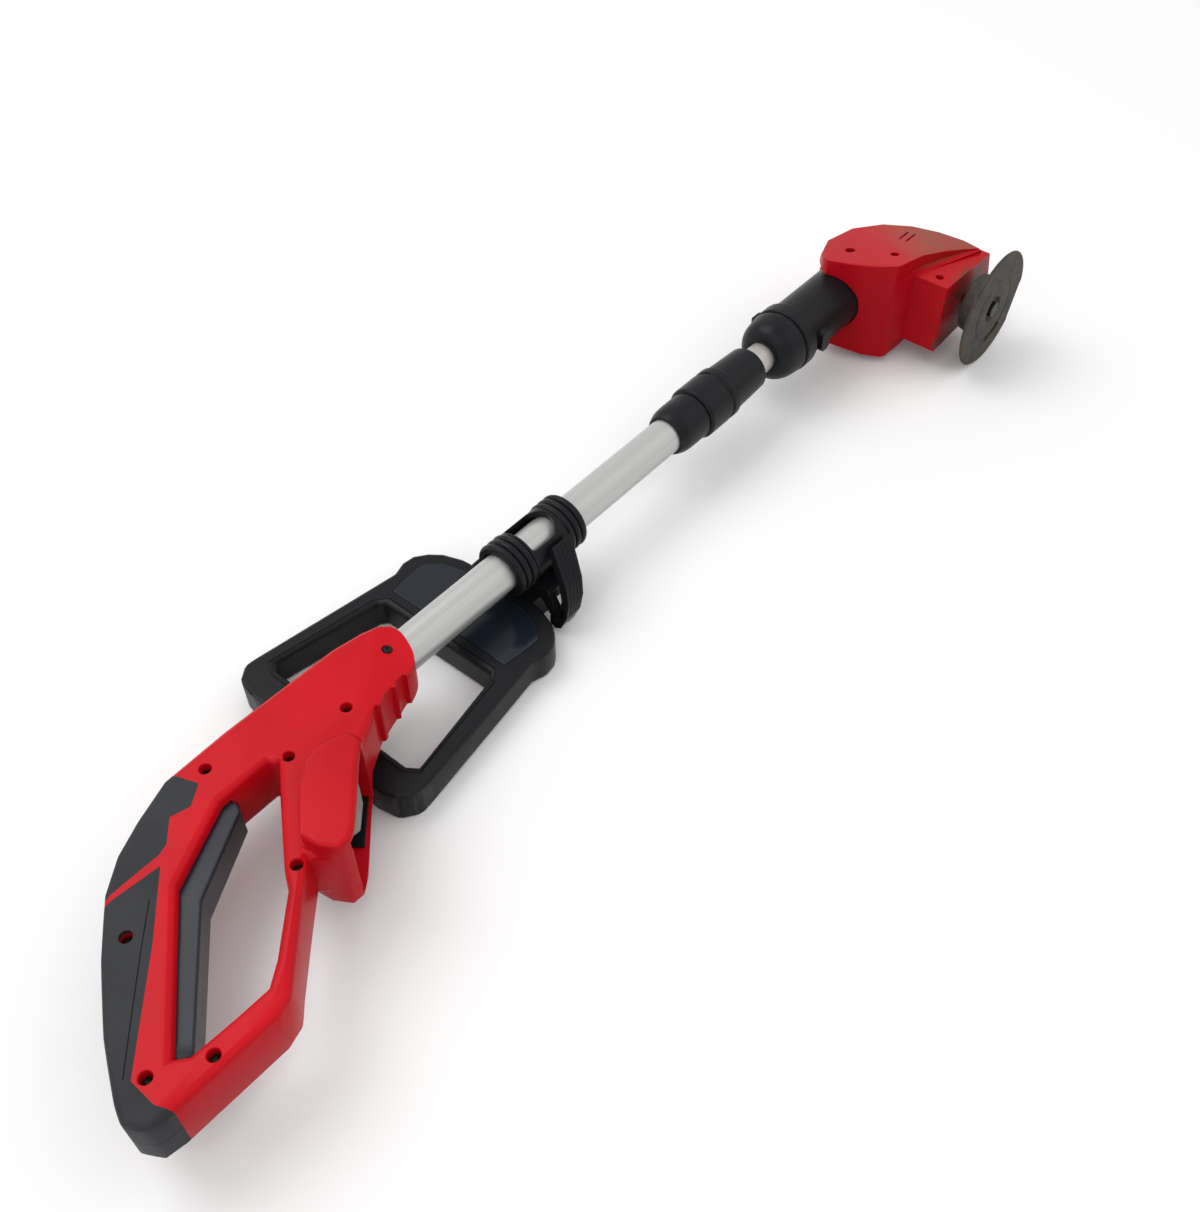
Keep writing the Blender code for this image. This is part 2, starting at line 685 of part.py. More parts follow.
def turn_room():
    """What the left shell gives up so that the auxiliary handle's rear beam turns past it with the clamp."""
    gap = 0.0025
    room = block("turn_room", (BEAM_REAR - gap, 0.0, -2 * SHELL_HALF), (BEAM_FRONT + gap, 2 * SHELL_HALF, 0.0))
    cut(room, rod("turn_sweep", (0.0, 0.0, 0.0), -HANDLE_TOP - RUNNING * 2, (-REACH, REACH), "x", 64))
    return room


def make_handle(mats):
    bay_outline = [
        bay(BAY_TOP, BAY_FLOOR), bay(BAY_END, BAY_FLOOR), bay(BAY_END, BAY_FRONT + 0.010), bay(BAY_TOP, BAY_FRONT + 0.010),
    ]
    inside = CHEEK_FACE - CHEEK_WALL
    shared = [
        slab("battery_bay", [bay_outline], -inside, inside),
        rod("tube_socket", (0.0, 0.0, 0.0), TUBE_RADIUS + SEAM, (TUBE_START - SEAM, REACH), "x", 32),
        rod("lead_way", (0.0, LEAD_OFFSET, 0.0), LEAD_RADIUS + SEAM, (TUBE_START - 0.02, TUBE_START), "x", 12),
        trigger_slot(),
        rod("trigger_pin_hole", (*TRIGGER_PIN, 0.0), TRIGGER_PIN_RADIUS + SEAM, (-CORE_HALF, CORE_HALF), "z", 12),
        inlay_recess("upper_recess", UPPER_INLAY),
        inlay_recess("lower_recess", LOWER_INLAY),
    ]
    lock = lock_slot()
    shared.append(lock)
    shared.append(slab("finger_relief", [FINGER_RELIEF], -REACH, REACH))
    shared += [collar_facet("right", 1), collar_facet("left", -1)]
    tools = {"shared": shared, "lock_slot": lock, "half": {1: half_space(1), -1: half_space(-1)}}
    handle_shell(1, "handle_shell_right", mats["red"], tools)
    tools["shared"].append(turn_room())
    handle_shell(-1, "handle_shell_left", mats["red"], tools)
    grip_inlays(1, mats["soft"], tools)
    grip_inlays(-1, mats["soft"], tools)
    for key, spot in HANDLE_SCREWS.items():
        seat, tip = screw_depths(key)
        screw(f"handle_screw_{key}", spot, seat, tip, "tool", mats["steel"])


def make_trigger(mats):
    front = TRIGGER_FRONT
    trigger = slab("trigger", [front + TRIGGER_BACK], -TRIGGER_HALF, TRIGGER_HALF, 0.0015)
    cut(trigger, rod("trigger_eye", (*TRIGGER_PIN, 0.0), TRIGGER_PIN_RADIUS + RUNNING, (-REACH, REACH), "z", 12))
    pocket = SPRING_PITCH * SPRING_TURNS / 2 + SPRING_WIRE + SEAM
    reach = SPRING_RADIUS + SPRING_WIRE + SEAM
    cut(trigger, rod("spring_pocket", (*TRIGGER_PIN, 0.0), reach, (-pocket, pocket), "z", 16))
    finish(trigger, "trigger", mats["navy"])
    points = []
    steps = SPRING_TURNS * 10
    for i in range(steps + 1):
        angle = 2 * math.pi * i / 10
        rise = SPRING_PITCH * (i / 10 - SPRING_TURNS / 2)
        x = TRIGGER_PIN[0] + SPRING_RADIUS * math.cos(angle)
        y = TRIGGER_PIN[1] + SPRING_RADIUS * math.sin(angle)
        points.append((x, y, rise))
    finish(wire("trigger_spring", points, SPRING_WIRE, 1), "trigger", mats["steel"])
    pin = rod("trigger_pin", (*TRIGGER_PIN, 0.0), TRIGGER_PIN_RADIUS, (-CORE_HALF + SEAM, CORE_HALF - SEAM), "z", 12)
    finish(pin, "tool", mats["steel"])


def make_lock_button(mats):
    half = LOCK_LENGTH / 2
    flange = GRIP_SKIN + SHELL_WALL + SEAM
    outline = [
        lock_frame(-half, -LOCK_PROUD + 0.0015), lock_frame(-half + 0.003, -LOCK_PROUD), lock_frame(half - 0.003, -LOCK_PROUD),
        lock_frame(half, -LOCK_PROUD + 0.0015), lock_frame(half, flange), lock_frame(half + LOCK_FLANGE, flange),
        lock_frame(half + LOCK_FLANGE, LOCK_DEPTH), lock_frame(-half - LOCK_FLANGE, LOCK_DEPTH),
        lock_frame(-half - LOCK_FLANGE, flange), lock_frame(-half, flange),
    ]
    finish(slab("lock_off_button", [outline], -LOCK_HALF, LOCK_HALF), "lock_button", mats["navy"])


def make_electrics(mats):
    half = CHEEK_FACE - CHEEK_WALL - SEAM
    low = BAY_FLOOR + SEAM
    seat = low + RAIL_WALL
    outline = [
        bay(BAY_TOP + SEAM, low), bay(RAIL_END, low), bay(RAIL_END, BAY_FRONT - 0.003), bay(BAY_TOP + SEAM, BAY_FRONT - 0.003),
    ]
    rail = slab("battery_rail", [outline], -half, half)
    outline = [bay(-REACH, seat), bay(REACH, seat), bay(REACH, REACH), bay(-REACH, REACH)]
    cut(rail, slab("rail_room", [outline], -half + RAIL_WALL, half - RAIL_WALL))
    finish(rail, "tool", mats["black"])
    seat += SEAM
    outline = [
        bay(TERMINAL_START, seat), bay(TERMINAL_END, seat), bay(TERMINAL_END, TERMINAL_FACE - 0.003),
        bay(TERMINAL_END - 0.003, TERMINAL_FACE), bay(TERMINAL_START, TERMINAL_FACE),
    ]
    finish(slab("terminal_block", [outline], -TERMINAL_HALF, TERMINAL_HALF), "tool", mats["grey"])
    start = TERMINAL_END + SEAM
    low, high = seat + 0.002, seat + 0.008
    for key, side in (("positive", 1), ("negative", -1)):
        middle = side * BLADE_SPACING
        outline = [bay(start, low), bay(start + BLADE_LENGTH, low), bay(start + BLADE_LENGTH, high), bay(start, high)]
        blade = slab(f"terminal_blade_{key}", [outline], middle - BLADE_THICK / 2, middle + BLADE_THICK / 2)
        finish(blade, "tool", mats["brass"])
    start = Vector(BACK[5])
    way = (Vector(BACK[6]) - start).normalized()
    inward = Vector((-way.y, way.x))
    corner = start + way * 0.001 + inward * (GRIP_SKIN + SHELL_WALL + SEAM)
    end = corner + way * SWITCH_LENGTH
    outline = [tuple(corner), tuple(end), tuple(end + inward * SWITCH_DEPTH), tuple(corner + inward * SWITCH_DEPTH)]
    finish(slab("power_switch", [outline], -SWITCH_HALF, SWITCH_HALF), "tool", mats["black"])
    lead = wire("motor_lead", [(TUBE_START - 0.012, LEAD_OFFSET, 0.0), (INNER_END - 0.01, LEAD_OFFSET, 0.0)], LEAD_RADIUS)
    finish(lead, "tool", mats["rubber"])


def make_tubes(mats):
    tube = pipe("outer_tube", TUBE_RADIUS - TUBE_WALL, TUBE_RADIUS, (TUBE_START, TUBE_END), steps=32)
    cut(tube, rod("tube_screw_hole", (*HANDLE_SCREWS["collar"], 0.0), SCREW_SHANK + SEAM, (-REACH, REACH), "z", 12))
    finish(tube, "tool", mats["aluminium"])
    inner = pipe("inner_tube", INNER_RADIUS - INNER_WALL, INNER_RADIUS, (INNER_START, INNER_END), steps=32)
    finish(inner, "inner_tube", mats["aluminium"])


def make_twist_clamp(mats):
    bore = TUBE_RADIUS + SEAM
    profile = [
        (CORE_RADIUS, CLAMP_CORE_END), (CORE_RADIUS, CLAMP_STEP), (BASE_RADIUS, CLAMP_STEP),
        (BASE_RADIUS, CLAMP_BASE_START + 0.008), (BASE_LIP_RADIUS, CLAMP_BASE_START + 0.002),
        (BASE_LIP_RADIUS - 0.001, CLAMP_BASE_START), (bore, CLAMP_BASE_START), (bore, CLAMP_CORE_END),
    ]
    finish(turned("clamp_base", profile, (0.0, 0.0, 0.0), "x", 32, ring=True), "tool", mats["black"])
    start = CLAMP_STEP + SEAM
    nose = INNER_RADIUS + RUNNING + 0.0004
    groove = start + SLEEVE_GROOVE
    deep = SLEEVE_RADIUS - SLEEVE_GROOVE_DEPTH
    profile = [
        (SLEEVE_NOSE_RADIUS - 0.001, SLEEVE_END), (SLEEVE_NOSE_RADIUS, SLEEVE_END - 0.0015), (deep, groove + 0.0100),
        (deep, groove + 0.0090), (SLEEVE_RADIUS, groove + 0.0080), (SLEEVE_RADIUS, groove + 0.0018), (deep, groove + 0.0006),
        (deep, groove - 0.0006), (SLEEVE_RADIUS, groove - 0.0018), (SLEEVE_RADIUS, start + 0.0015), (SLEEVE_RADIUS - 0.0015, start),
        (CORE_RADIUS + RUNNING, start), (CORE_RADIUS + RUNNING, COLLET_END - 0.004), (nose + 0.0016, COLLET_END + 0.004),
        (nose, COLLET_END + 0.006), (nose, SLEEVE_END),
    ]
    finish(turned("twist_sleeve", profile, (0.0, 0.0, 0.0), "x", 32, ring=True), "twist_sleeve", mats["black"])
    bore = INNER_RADIUS + RUNNING
    profile = [
        (bore + 0.0012, COLLET_END), (CORE_RADIUS - 0.0005, COLLET_END - 0.006), (CORE_RADIUS - 0.0005, COLLET_START),
        (bore, COLLET_START), (bore, COLLET_END),
    ]
    finish(turned("clamp_collet", profile, (0.0, 0.0, 0.0), "x", 24, ring=True), "tool", mats["navy"])


def rib_ring(start, width):
    """One end ring of the saddle: three round ribs, from its far end to its near one."""
    pitch = width / 3
    points = []
    for i in range(3):
        far = start + width - i * pitch
        points += [(RIB_RADIUS - 0.0012, far), (RIB_RADIUS, far - pitch * 0.3), (RIB_RADIUS, far - pitch * 0.7)]
    points.append((RIB_RADIUS - 0.0012, start))
    return points


def make_tube_clamp(mats):
    bore = TUBE_RADIUS + RUNNING
    ends = (SADDLE_START + 0.002, SADDLE_END - 0.002)
    liner = pipe("clamp_liner", bore, bore + LINER_WALL, ends, steps=32)
    cut(liner, block("liner_window", (SADDLE_WINDOW_START, -TUBE_RADIUS * 2, 0.002), (SADDLE_WINDOW_END, TUBE_RADIUS * 2, REACH)))
    finish(liner, "clamp_liner", mats["rubber"])
    bore += LINER_WALL + RUNNING
    profile = rib_ring(SADDLE_END - RIB_RING_WIDTH, RIB_RING_WIDTH) + [(SADDLE_RADIUS, SADDLE_END - RIB_RING_WIDTH)]
    profile += [(SADDLE_RADIUS, SADDLE_START + RIB_RING_WIDTH)] + rib_ring(SADDLE_START, RIB_RING_WIDTH)
    profile += [(bore, SADDLE_START), (bore, SADDLE_END)]
    saddle = turned("clamp_saddle", profile, (0.0, 0.0, 0.0), "x", 32, ring=True)
    low = (BLOCK_START, LEVER_PIN[0] + LEVER_EYE + RUNNING * 3, BLOCK_BOTTOM)
    under = block("saddle_block", low, (BLOCK_END, HANDLE_OFFSET + TONGUE_HALF, -0.0150))
    tongue_outline = [
        (HINGE_X - LUG_RADIUS + 0.001, BLOCK_BOTTOM + 0.004), *arc((HINGE_X, HANDLE_MID), LUG_RADIUS - 0.001, 180, 360, 8),
        (HINGE_X + LUG_RADIUS - 0.001, BLOCK_BOTTOM + 0.004),
    ]
    tongue = slab(
        "saddle_tongue", [tongue_outline], -HANDLE_OFFSET - TONGUE_HALF, -HANDLE_OFFSET + TONGUE_HALF, plane="xz"
    )
    join(saddle, under, tongue)
    ear = [
        (LEVER_PIN[0] + 0.0120, BLOCK_BOTTOM + 0.0010), (LEVER_PIN[0] + 0.0060, BLOCK_BOTTOM + 0.0070),
        *arc(LEVER_PIN, LEVER_EYE - 0.0010, 130, 330, 8),
    ]
    join(saddle, slab("saddle_ear", [ear], LEVER_FORK, LEVER_FORK + FORK_WIDTH, plane="yz"))
    half = SADDLE_WINDOW_HALF
    window = [
        (SADDLE_WINDOW_START, -half), (SADDLE_WINDOW_END - half / 2, -half), (SADDLE_WINDOW_END - half / 8, -half / 2),
        (SADDLE_WINDOW_END, 0.0), (SADDLE_WINDOW_END - half / 8, half / 2), (SADDLE_WINDOW_END - half / 2, half),
        (SADDLE_WINDOW_START, half),
    ]
    cut(saddle, slab("saddle_window", [window], 0.0, REACH))
    cut(saddle, rod("saddle_bore", (0.0, 0.0, 0.0), bore, (SADDLE_START - 0.01, SADDLE_END + 0.01), "x", 32))
    cut(saddle, rod("hinge_hole", (HINGE_X, 0.0, HANDLE_MID), HINGE_PIN_RADIUS + SEAM, (-REACH, REACH), "y", 12))
    cut(saddle, rod("lever_hole", (0.0, *LEVER_PIN), LEVER_PIN_RADIUS + SEAM, (LEVER_LOW, LEVER_HIGH), "x", 12))
    finish(saddle, "tube_clamp", mats["black"])
    pin = rod("lever_pin", (0.0, *LEVER_PIN), LEVER_PIN_RADIUS, (LEVER_LOW + 0.0035, LEVER_LOW + 0.0135), "x", 12)
    finish(pin, "tube_clamp", mats["steel"])
    reach = TONGUE_HALF + SEAM + LUG_WIDTH
    pin = rod(
        "handle_hinge_pin", (HINGE_X, 0.0, HANDLE_MID), HINGE_PIN_RADIUS, (HANDLE_OFFSET - reach, HANDLE_OFFSET + reach), "y", 12
    )
    finish(pin, "tube_clamp", mats["steel"])


def make_cam_lever(mats):
    lever = slab("cam_lever", [LEVER_LEAF], LEVER_LOW - 0.010, LEVER_HIGH + 0.010, plane="yz")
    keep(lever, slab("cam_lever_sides", [LEVER_SIDES], -REACH, REACH, plane="xz"))
    cut(lever, rod("cam_lever_eye", (0.0, *LEVER_PIN), LEVER_PIN_RADIUS + RUNNING, (0.0, REACH), "x", 12))
    low = (LEVER_FORK - RUNNING, LEVER_PIN[0] - LEVER_EYE - RUNNING, LEVER_PIN[1] - LEVER_EYE - 0.010)
    high = (LEVER_FORK + FORK_WIDTH + RUNNING, 0.0, LEVER_PIN[1] + 2 * LEVER_EYE)
    cut(lever, block("cam_lever_fork", low, high))
    finish(lever, "cam_lever", mats["black"])


def mirrored(points, middle):
    """A closed outline from its half on the tool's top side, listed rear to front."""
    other = [(x, 2 * middle - y) for x, y in reversed(points)]
    return points + other


def make_aux_handle(mats):
    middle = HANDLE_OFFSET
    edge = middle + HANDLE_HALF_WIDTH
    outer = mirrored(
        [(BEAM_REAR, edge - 0.022), (-0.071, edge - 0.008), (-0.060, edge), (0.050, edge - 0.0155), (0.060, edge - 0.0125),
         (0.069, edge - 0.0135), (0.077, edge - 0.0195), (0.083, edge - 0.0275), (0.088, edge - 0.042)], middle,
    )
    inner = mirrored(
        [(BEAM_FRONT, edge - 0.020), (-0.047, edge - 0.014), (0.024, edge - 0.0265), (0.028, edge - 0.030)], middle,
    )
    frame = slab("aux_handle_frame", [outer, inner], FLOOR, HANDLE_TOP, HANDLE_EDGE)
    lug = [(HINGE_X - LUG_LENGTH, HANDLE_TOP - 0.002), (HINGE_X - LUG_LENGTH, FLOOR + 0.002)]
    lug += arc((HINGE_X, HANDLE_MID), LUG_RADIUS, -90, 90, 8)
    for key, start in (("top", middle + TONGUE_HALF + SEAM), ("under", middle - TONGUE_HALF - SEAM - LUG_WIDTH)):
        join(frame, slab(f"frame_lug_{key}", [lug], -start - LUG_WIDTH, -start, plane="xz"))
    side = HANDLE_HALF_WIDTH
    panel = [
        (0.038, 0.010), (0.038, side - 0.026), (0.050, side - 0.0245), (0.066, side - 0.0235), (0.0755, side - 0.033),
        (0.080, side - 0.048), (0.080, 0.010),
    ]
    for key, side in (("top", 1), ("under", -1)):
        outline = [(x, middle + side * y) for x, y in panel]
        grown = slab(f"panel_recess_{key}", [outline], HANDLE_TOP - PANEL_DEPTH, HANDLE_TOP + 0.01)
        cut(frame, grown)
        centre = Vector((0.059, middle + side * 0.029))
        shrunk = [tuple(centre + (Vector(point) - centre) * 0.985) for point in outline]
        plate = slab(f"aux_handle_panel_{key}", [shrunk], HANDLE_TOP - PANEL_DEPTH + SEAM, HANDLE_TOP + 0.0004)
        finish(plate, "aux_handle", mats["navy"])
    cut(frame, rod("frame_hinge_hole", (HINGE_X, 0.0, HANDLE_MID), HINGE_PIN_RADIUS + RUNNING, (-REACH, REACH), "y", 12))
    finish(frame, "aux_handle", mats["black"])


def catch_outline(gap):
    """The catch button, seen from its side of the neck."""
    wide = CATCH_HALF + gap
    tall = CATCH_HEIGHT + gap
    corner = CATCH_HALF / 2
    points = [
        (wide, tall - corner), (wide - corner, tall), (corner - wide, tall), (-wide, tall - corner), (-wide, corner - tall),
        (corner - wide, -tall), (wide - corner, -tall), (wide, corner - tall),
    ]
    return [(CATCH_X + x, z) for x, z in points]


def make_neck(mats):
    bore = INNER_RADIUS + SEAM
    socket = SPIGOT_RADIUS + RUNNING
    step = CONE_END - FLANGE_WIDTH
    profile = [
        (FLANGE_RADIUS, CONE_END), (FLANGE_RADIUS, step + 0.001), (FLANGE_RADIUS - 0.001, step), (CONE_RADIUS - 0.001, step),
        (CONE_RADIUS - 0.001, step - 0.001), (CONE_RADIUS, step - 0.002), (CONE_RADIUS * 0.985, step - 0.007),
        (CONE_RADIUS * 0.93, CONE_START + 0.009), (CONE_RADIUS * 0.82, CONE_START + 0.004),
        (CONE_RADIUS * 0.68, CONE_START + 0.001), (CONE_SMALL, CONE_START),
        (bore, CONE_START), (bore, SOCKET_START - RUNNING), (socket, SOCKET_START - RUNNING), (socket, CONE_END),
    ]
    cone = turned("tube_end_cone", profile, (0.0, 0.0, 0.0), "x", 32, ring=True)
    under = NECK_RADIUS + RUNNING * 2
    outer = FLANGE_RADIUS + LUG_HALF
    lug = [
        (step + 0.004, SPIGOT_RADIUS + 0.004), (CONE_END - 0.001, SPIGOT_RADIUS + 0.004), (CONE_END - 0.001, under),
        (CONE_END + LUG_REACH, under), (CONE_END + LUG_REACH, outer - 0.002), (CONE_END + LUG_REACH - 0.002, outer),
        (step + 0.006, outer), (step + 0.004, outer - 0.002),
    ]
    join(cone, slab("cone_lug", [lug], -LUG_HALF, LUG_HALF))
    finish(cone, "inner_tube", mats["black"])
    end = PIVOT_X + NECK_RADIUS + 0.002
    profile = [
        (0.0, end), (NECK_RADIUS, end), (NECK_RADIUS, CONE_END + RUNNING + 0.001),
        (NECK_RADIUS - 0.0008, CONE_END + RUNNING), (SPIGOT_RADIUS, CONE_END + RUNNING),
        (SPIGOT_RADIUS, SOCKET_START), (NECK_BORE, SOCKET_START), (NECK_BORE, NECK_BORE_END), (0.0, NECK_BORE_END),
    ]
    neck = turned("neck_barrel", profile, (0.0, 0.0, 0.0), "x", 32)
    knuckle = arc((PIVOT_X, 0.0), NECK_RADIUS, -80, 80, 10)
    knuckle += [
        (knuckle[-1][0], 2 * NECK_RADIUS), (PIVOT_X + 2 * NECK_RADIUS, 2 * NECK_RADIUS),
        (PIVOT_X + 2 * NECK_RADIUS, -2 * NECK_RADIUS), (knuckle[0][0], -2 * NECK_RADIUS),
    ]
    cut(neck, slab("neck_knuckle", [knuckle], -REACH, REACH))
    cut(neck, rod("neck_pivot_hole", (PIVOT_X, 0.0, 0.0), PIVOT_PIN_RADIUS + RUNNING, (-REACH, REACH), "z", 16))
    cut(neck, slab("catch_hole", [catch_outline(RUNNING)], NECK_BORE + 0.001, NECK_RADIUS + 0.01, plane="xz"))
    finish(neck, "neck", mats["black"])
    head = NECK_RADIUS + CATCH_PROUD
    button = slab("catch_button", [catch_outline(0.0)], head - CATCH_DEPTH, head, plane="xz")
    finish(button, "catch_button", mats["black"])


def head_points(side, wall):
    """The motor head's outer form, or the same form a wall's thickness inside it."""
    centre = Vector((0.505, -0.020))

    def inward(point):
        away = Vector(point) - centre
        return centre + away * (1 - wall / away.length * 1.15)

    points = []
    for point in HEAD_FAR_MID + HEAD_NEAR:
        points.append((*inward(point), -side * PARTING))
    for point in HEAD_FAR_TOP:
        points.append((*inward(point), side * (HEAD_TOP_HEIGHT - wall)))
    for point, height in zip(HEAD_NEAR, HEAD_NEAR_RIDGE):
        points.append((*inward(point), side * (height - wall)))
    return points


def tilt_room():
    """The room in the head that the neck sweeps as the head tilts: round where it lies at rest."""
    half = NECK_RADIUS + TILT_CLEARANCE
    pivot = (PIVOT_X, 0.0)
    far = 0.070
    fan = [(PIVOT_X - far, half), (PIVOT_X - far, 0.0), (PIVOT_X, 0.0), (PIVOT_X, -half)]
    fan += arc(pivot, half, -75, 90 - math.degrees(HEAD_TILT), 8)
    fan.append(turn_point((PIVOT_X - far, half), pivot, -HEAD_TILT))
    return [
        slab("tilt_slot", [fan], -half, half),
        rod("neck_way", (0.0, 0.0, 0.0), half, (PIVOT_X - far, PIVOT_X), "x", 32),
    ]


def skirt_points(side, wall):
    """The square skirt round the motor's end, or the same form a wall's thickness inside it."""
    points = []
    for y in (SKIRT_BOTTOM + wall, SKIRT_TOP + wall):
        for x, height in ((SKIRT_NEAR_X + wall, SKIRT_HALF), (SKIRT_FAR_X - wall, SKIRT_FAR_HALF)):
            points.append((x, y, side * (height - wall)))
        points.append((SKIRT_NEAR_X + wall, y, -side * PARTING))
        points.append((SKIRT_TIP_X - wall, y, -side * PARTING))
    return points


def dome_step(name, side, wall):
    """The space over the skirt that the dome leaves free, or the same space grown by a wall."""
    edge = [(x, y + wall) for x, y in DOME_EDGE]
    outline = edge + [(DOME_EDGE[-1][0], -0.120), (DOME_EDGE[0][0], -0.120)]
    return slab(name, [outline], *span(side, SKIRT_HALF - wall - 0.0005, REACH))


def vent_slots(name, side):
    slots = []
    for i in range(2):
        drop = Vector((0.0, -VENT_PITCH * i))
        start = Vector(VENT_START) + drop
        end = Vector(VENT_END) + drop
        wide = Vector((0.0, VENT_WIDTH))
        outline = [tuple(point) for point in (start, end, end + wide, start + wide)]
        slots.append(slab(f"{name}_vent_{i}", [outline], *span(side, HEAD_TOP_HEIGHT - 0.006, REACH)))
    return slots


def head_shell(side, name, red, tools):
    shell = hull(name, head_points(side, 0.0))
    cut(shell, dome_step(name + "_step", side, 0.0))
    join(shell, hull(name + "_skirt", skirt_points(side, 0.0)))
    solids = []
    for key, place in (("upper", -0.014), ("lower", -0.049)):
        low, high = span(side, 0.0, HEAD_TOP_HEIGHT * 2)
        solids.append(block(f"{name}_rib_{key}", (0.494, place - 0.0012, low), (0.570, place + 0.0012, high)))
    reach = BEARING_RADIUS + SHELL_WALL
    low, high = span(side, -PARTING, reach)
    seat = block(
        name + "_bearing_seat", (MOTOR_X - reach, SKIRT_BOTTOM, low),
        (MOTOR_X + reach, SKIRT_BOTTOM + HEAD_WALL + BEARING_WIDTH, high),
    )
    solids.append(seat)
    for key, spot in HEAD_SCREWS.items():
        solids.append(rod(f"{name}_boss_{key}", (*spot, 0.0), BOSS_RADIUS, (-REACH, REACH), "z", 12))
    low, high = span(side, NECK_RADIUS + RUNNING * 3, REACH)
    solids.append(rod(name + "_pivot_boss", (PIVOT_X, 0.0, 0.0), 0.0075, (low, high), "z", 16))
    dome_hollow = hull(name + "_hollow", head_points(side, HEAD_WALL))
    cut(dome_hollow, dome_step(name + "_hollow_step", side, HEAD_WALL))
    for hollow in (dome_hollow, hull(name + "_skirt_hollow", skirt_points(side, HEAD_WALL))):
        cut(hollow, *solids)
        cut(shell, hollow)
    cut(shell, *vent_slots(name, side))
    cut(shell, tools["half"][side], *tools["shared"])
    for key, spot in HEAD_SCREWS.items():
        cut(shell, rod(f"{name}_bore_{key}", (*spot, 0.0), SCREW_SHANK + SEAM, (SCREW_TIP - 0.001, REACH), "z", 12))
        if side > 0:
            cut(shell, rod(f"{name}_recess_{key}", (*spot, 0.0), RECESS_RADIUS, (HEAD_SEAT, REACH), "z", 12))
    return finish(shell, "motor_head", red)


def make_head(mats):
    centre = (MOTOR_X, 0.0, 0.0)
    tools = [
        *tilt_room(),
        rod("motor_room", centre, MOTOR_RADIUS + SEAM, (MOTOR_LOW - 0.002, MOTOR_HIGH + 0.002), "y", 32),
        rod("bearing_room", centre, BEARING_RADIUS + SEAM,
            (SKIRT_BOTTOM + HEAD_WALL, SKIRT_BOTTOM + HEAD_WALL + BEARING_WIDTH + 0.001), "y", 24),
        rod("shaft_room", centre, 0.0055, (SKIRT_BOTTOM - 0.01, SKIRT_BOTTOM + 0.02), "y", 24),
        rod("pivot_pin_room", (PIVOT_X, 0.0, 0.0), PIVOT_PIN_RADIUS + SEAM, (-PIVOT_PIN_HALF - SEAM, REACH), "z", 16),
    ]
    tools = {"shared": tools, "half": {1: half_space(1), -1: half_space(-1)}}
    head_shell(1, "head_shell_right", mats["red"], tools)
    head_shell(-1, "head_shell_left", mats["red"], tools)
    for key, spot in HEAD_SCREWS.items():
        screw(f"head_screw_{key}", spot, HEAD_SEAT, SCREW_TIP, "motor_head", mats["steel"])
    pin = rod("head_pivot_pin", (PIVOT_X, 0.0, 0.0), PIVOT_PIN_RADIUS, (-PIVOT_PIN_HALF, PIVOT_PIN_HALF), "z", 16)
    finish(pin, "motor_head", mats["steel"])
    low = MOTOR_LOW
    profile = [
        (SHAFT_RADIUS + 0.002, MOTOR_HIGH), (MOTOR_RADIUS - 0.004, MOTOR_HIGH), (MOTOR_RADIUS - 0.004, MOTOR_HIGH - 0.005),
        (MOTOR_RADIUS, MOTOR_HIGH - 0.005), (MOTOR_RADIUS, low), (SHAFT_RADIUS + RUNNING, low),
        (SHAFT_RADIUS + RUNNING, MOTOR_HIGH - 0.001), (SHAFT_RADIUS + 0.002, MOTOR_HIGH - 0.001),
    ]
    finish(turned("motor_can", profile, centre, "y", 32, ring=True), "motor_head", mats["steel"])
    low = SKIRT_BOTTOM + HEAD_WALL + SEAM
    bearing = pipe("shaft_bearing", SHAFT_RADIUS + RUNNING, BEARING_RADIUS, (low, low + BEARING_WIDTH - SEAM), centre, "y", 24)
    finish(bearing, "motor_head", mats["steel"])


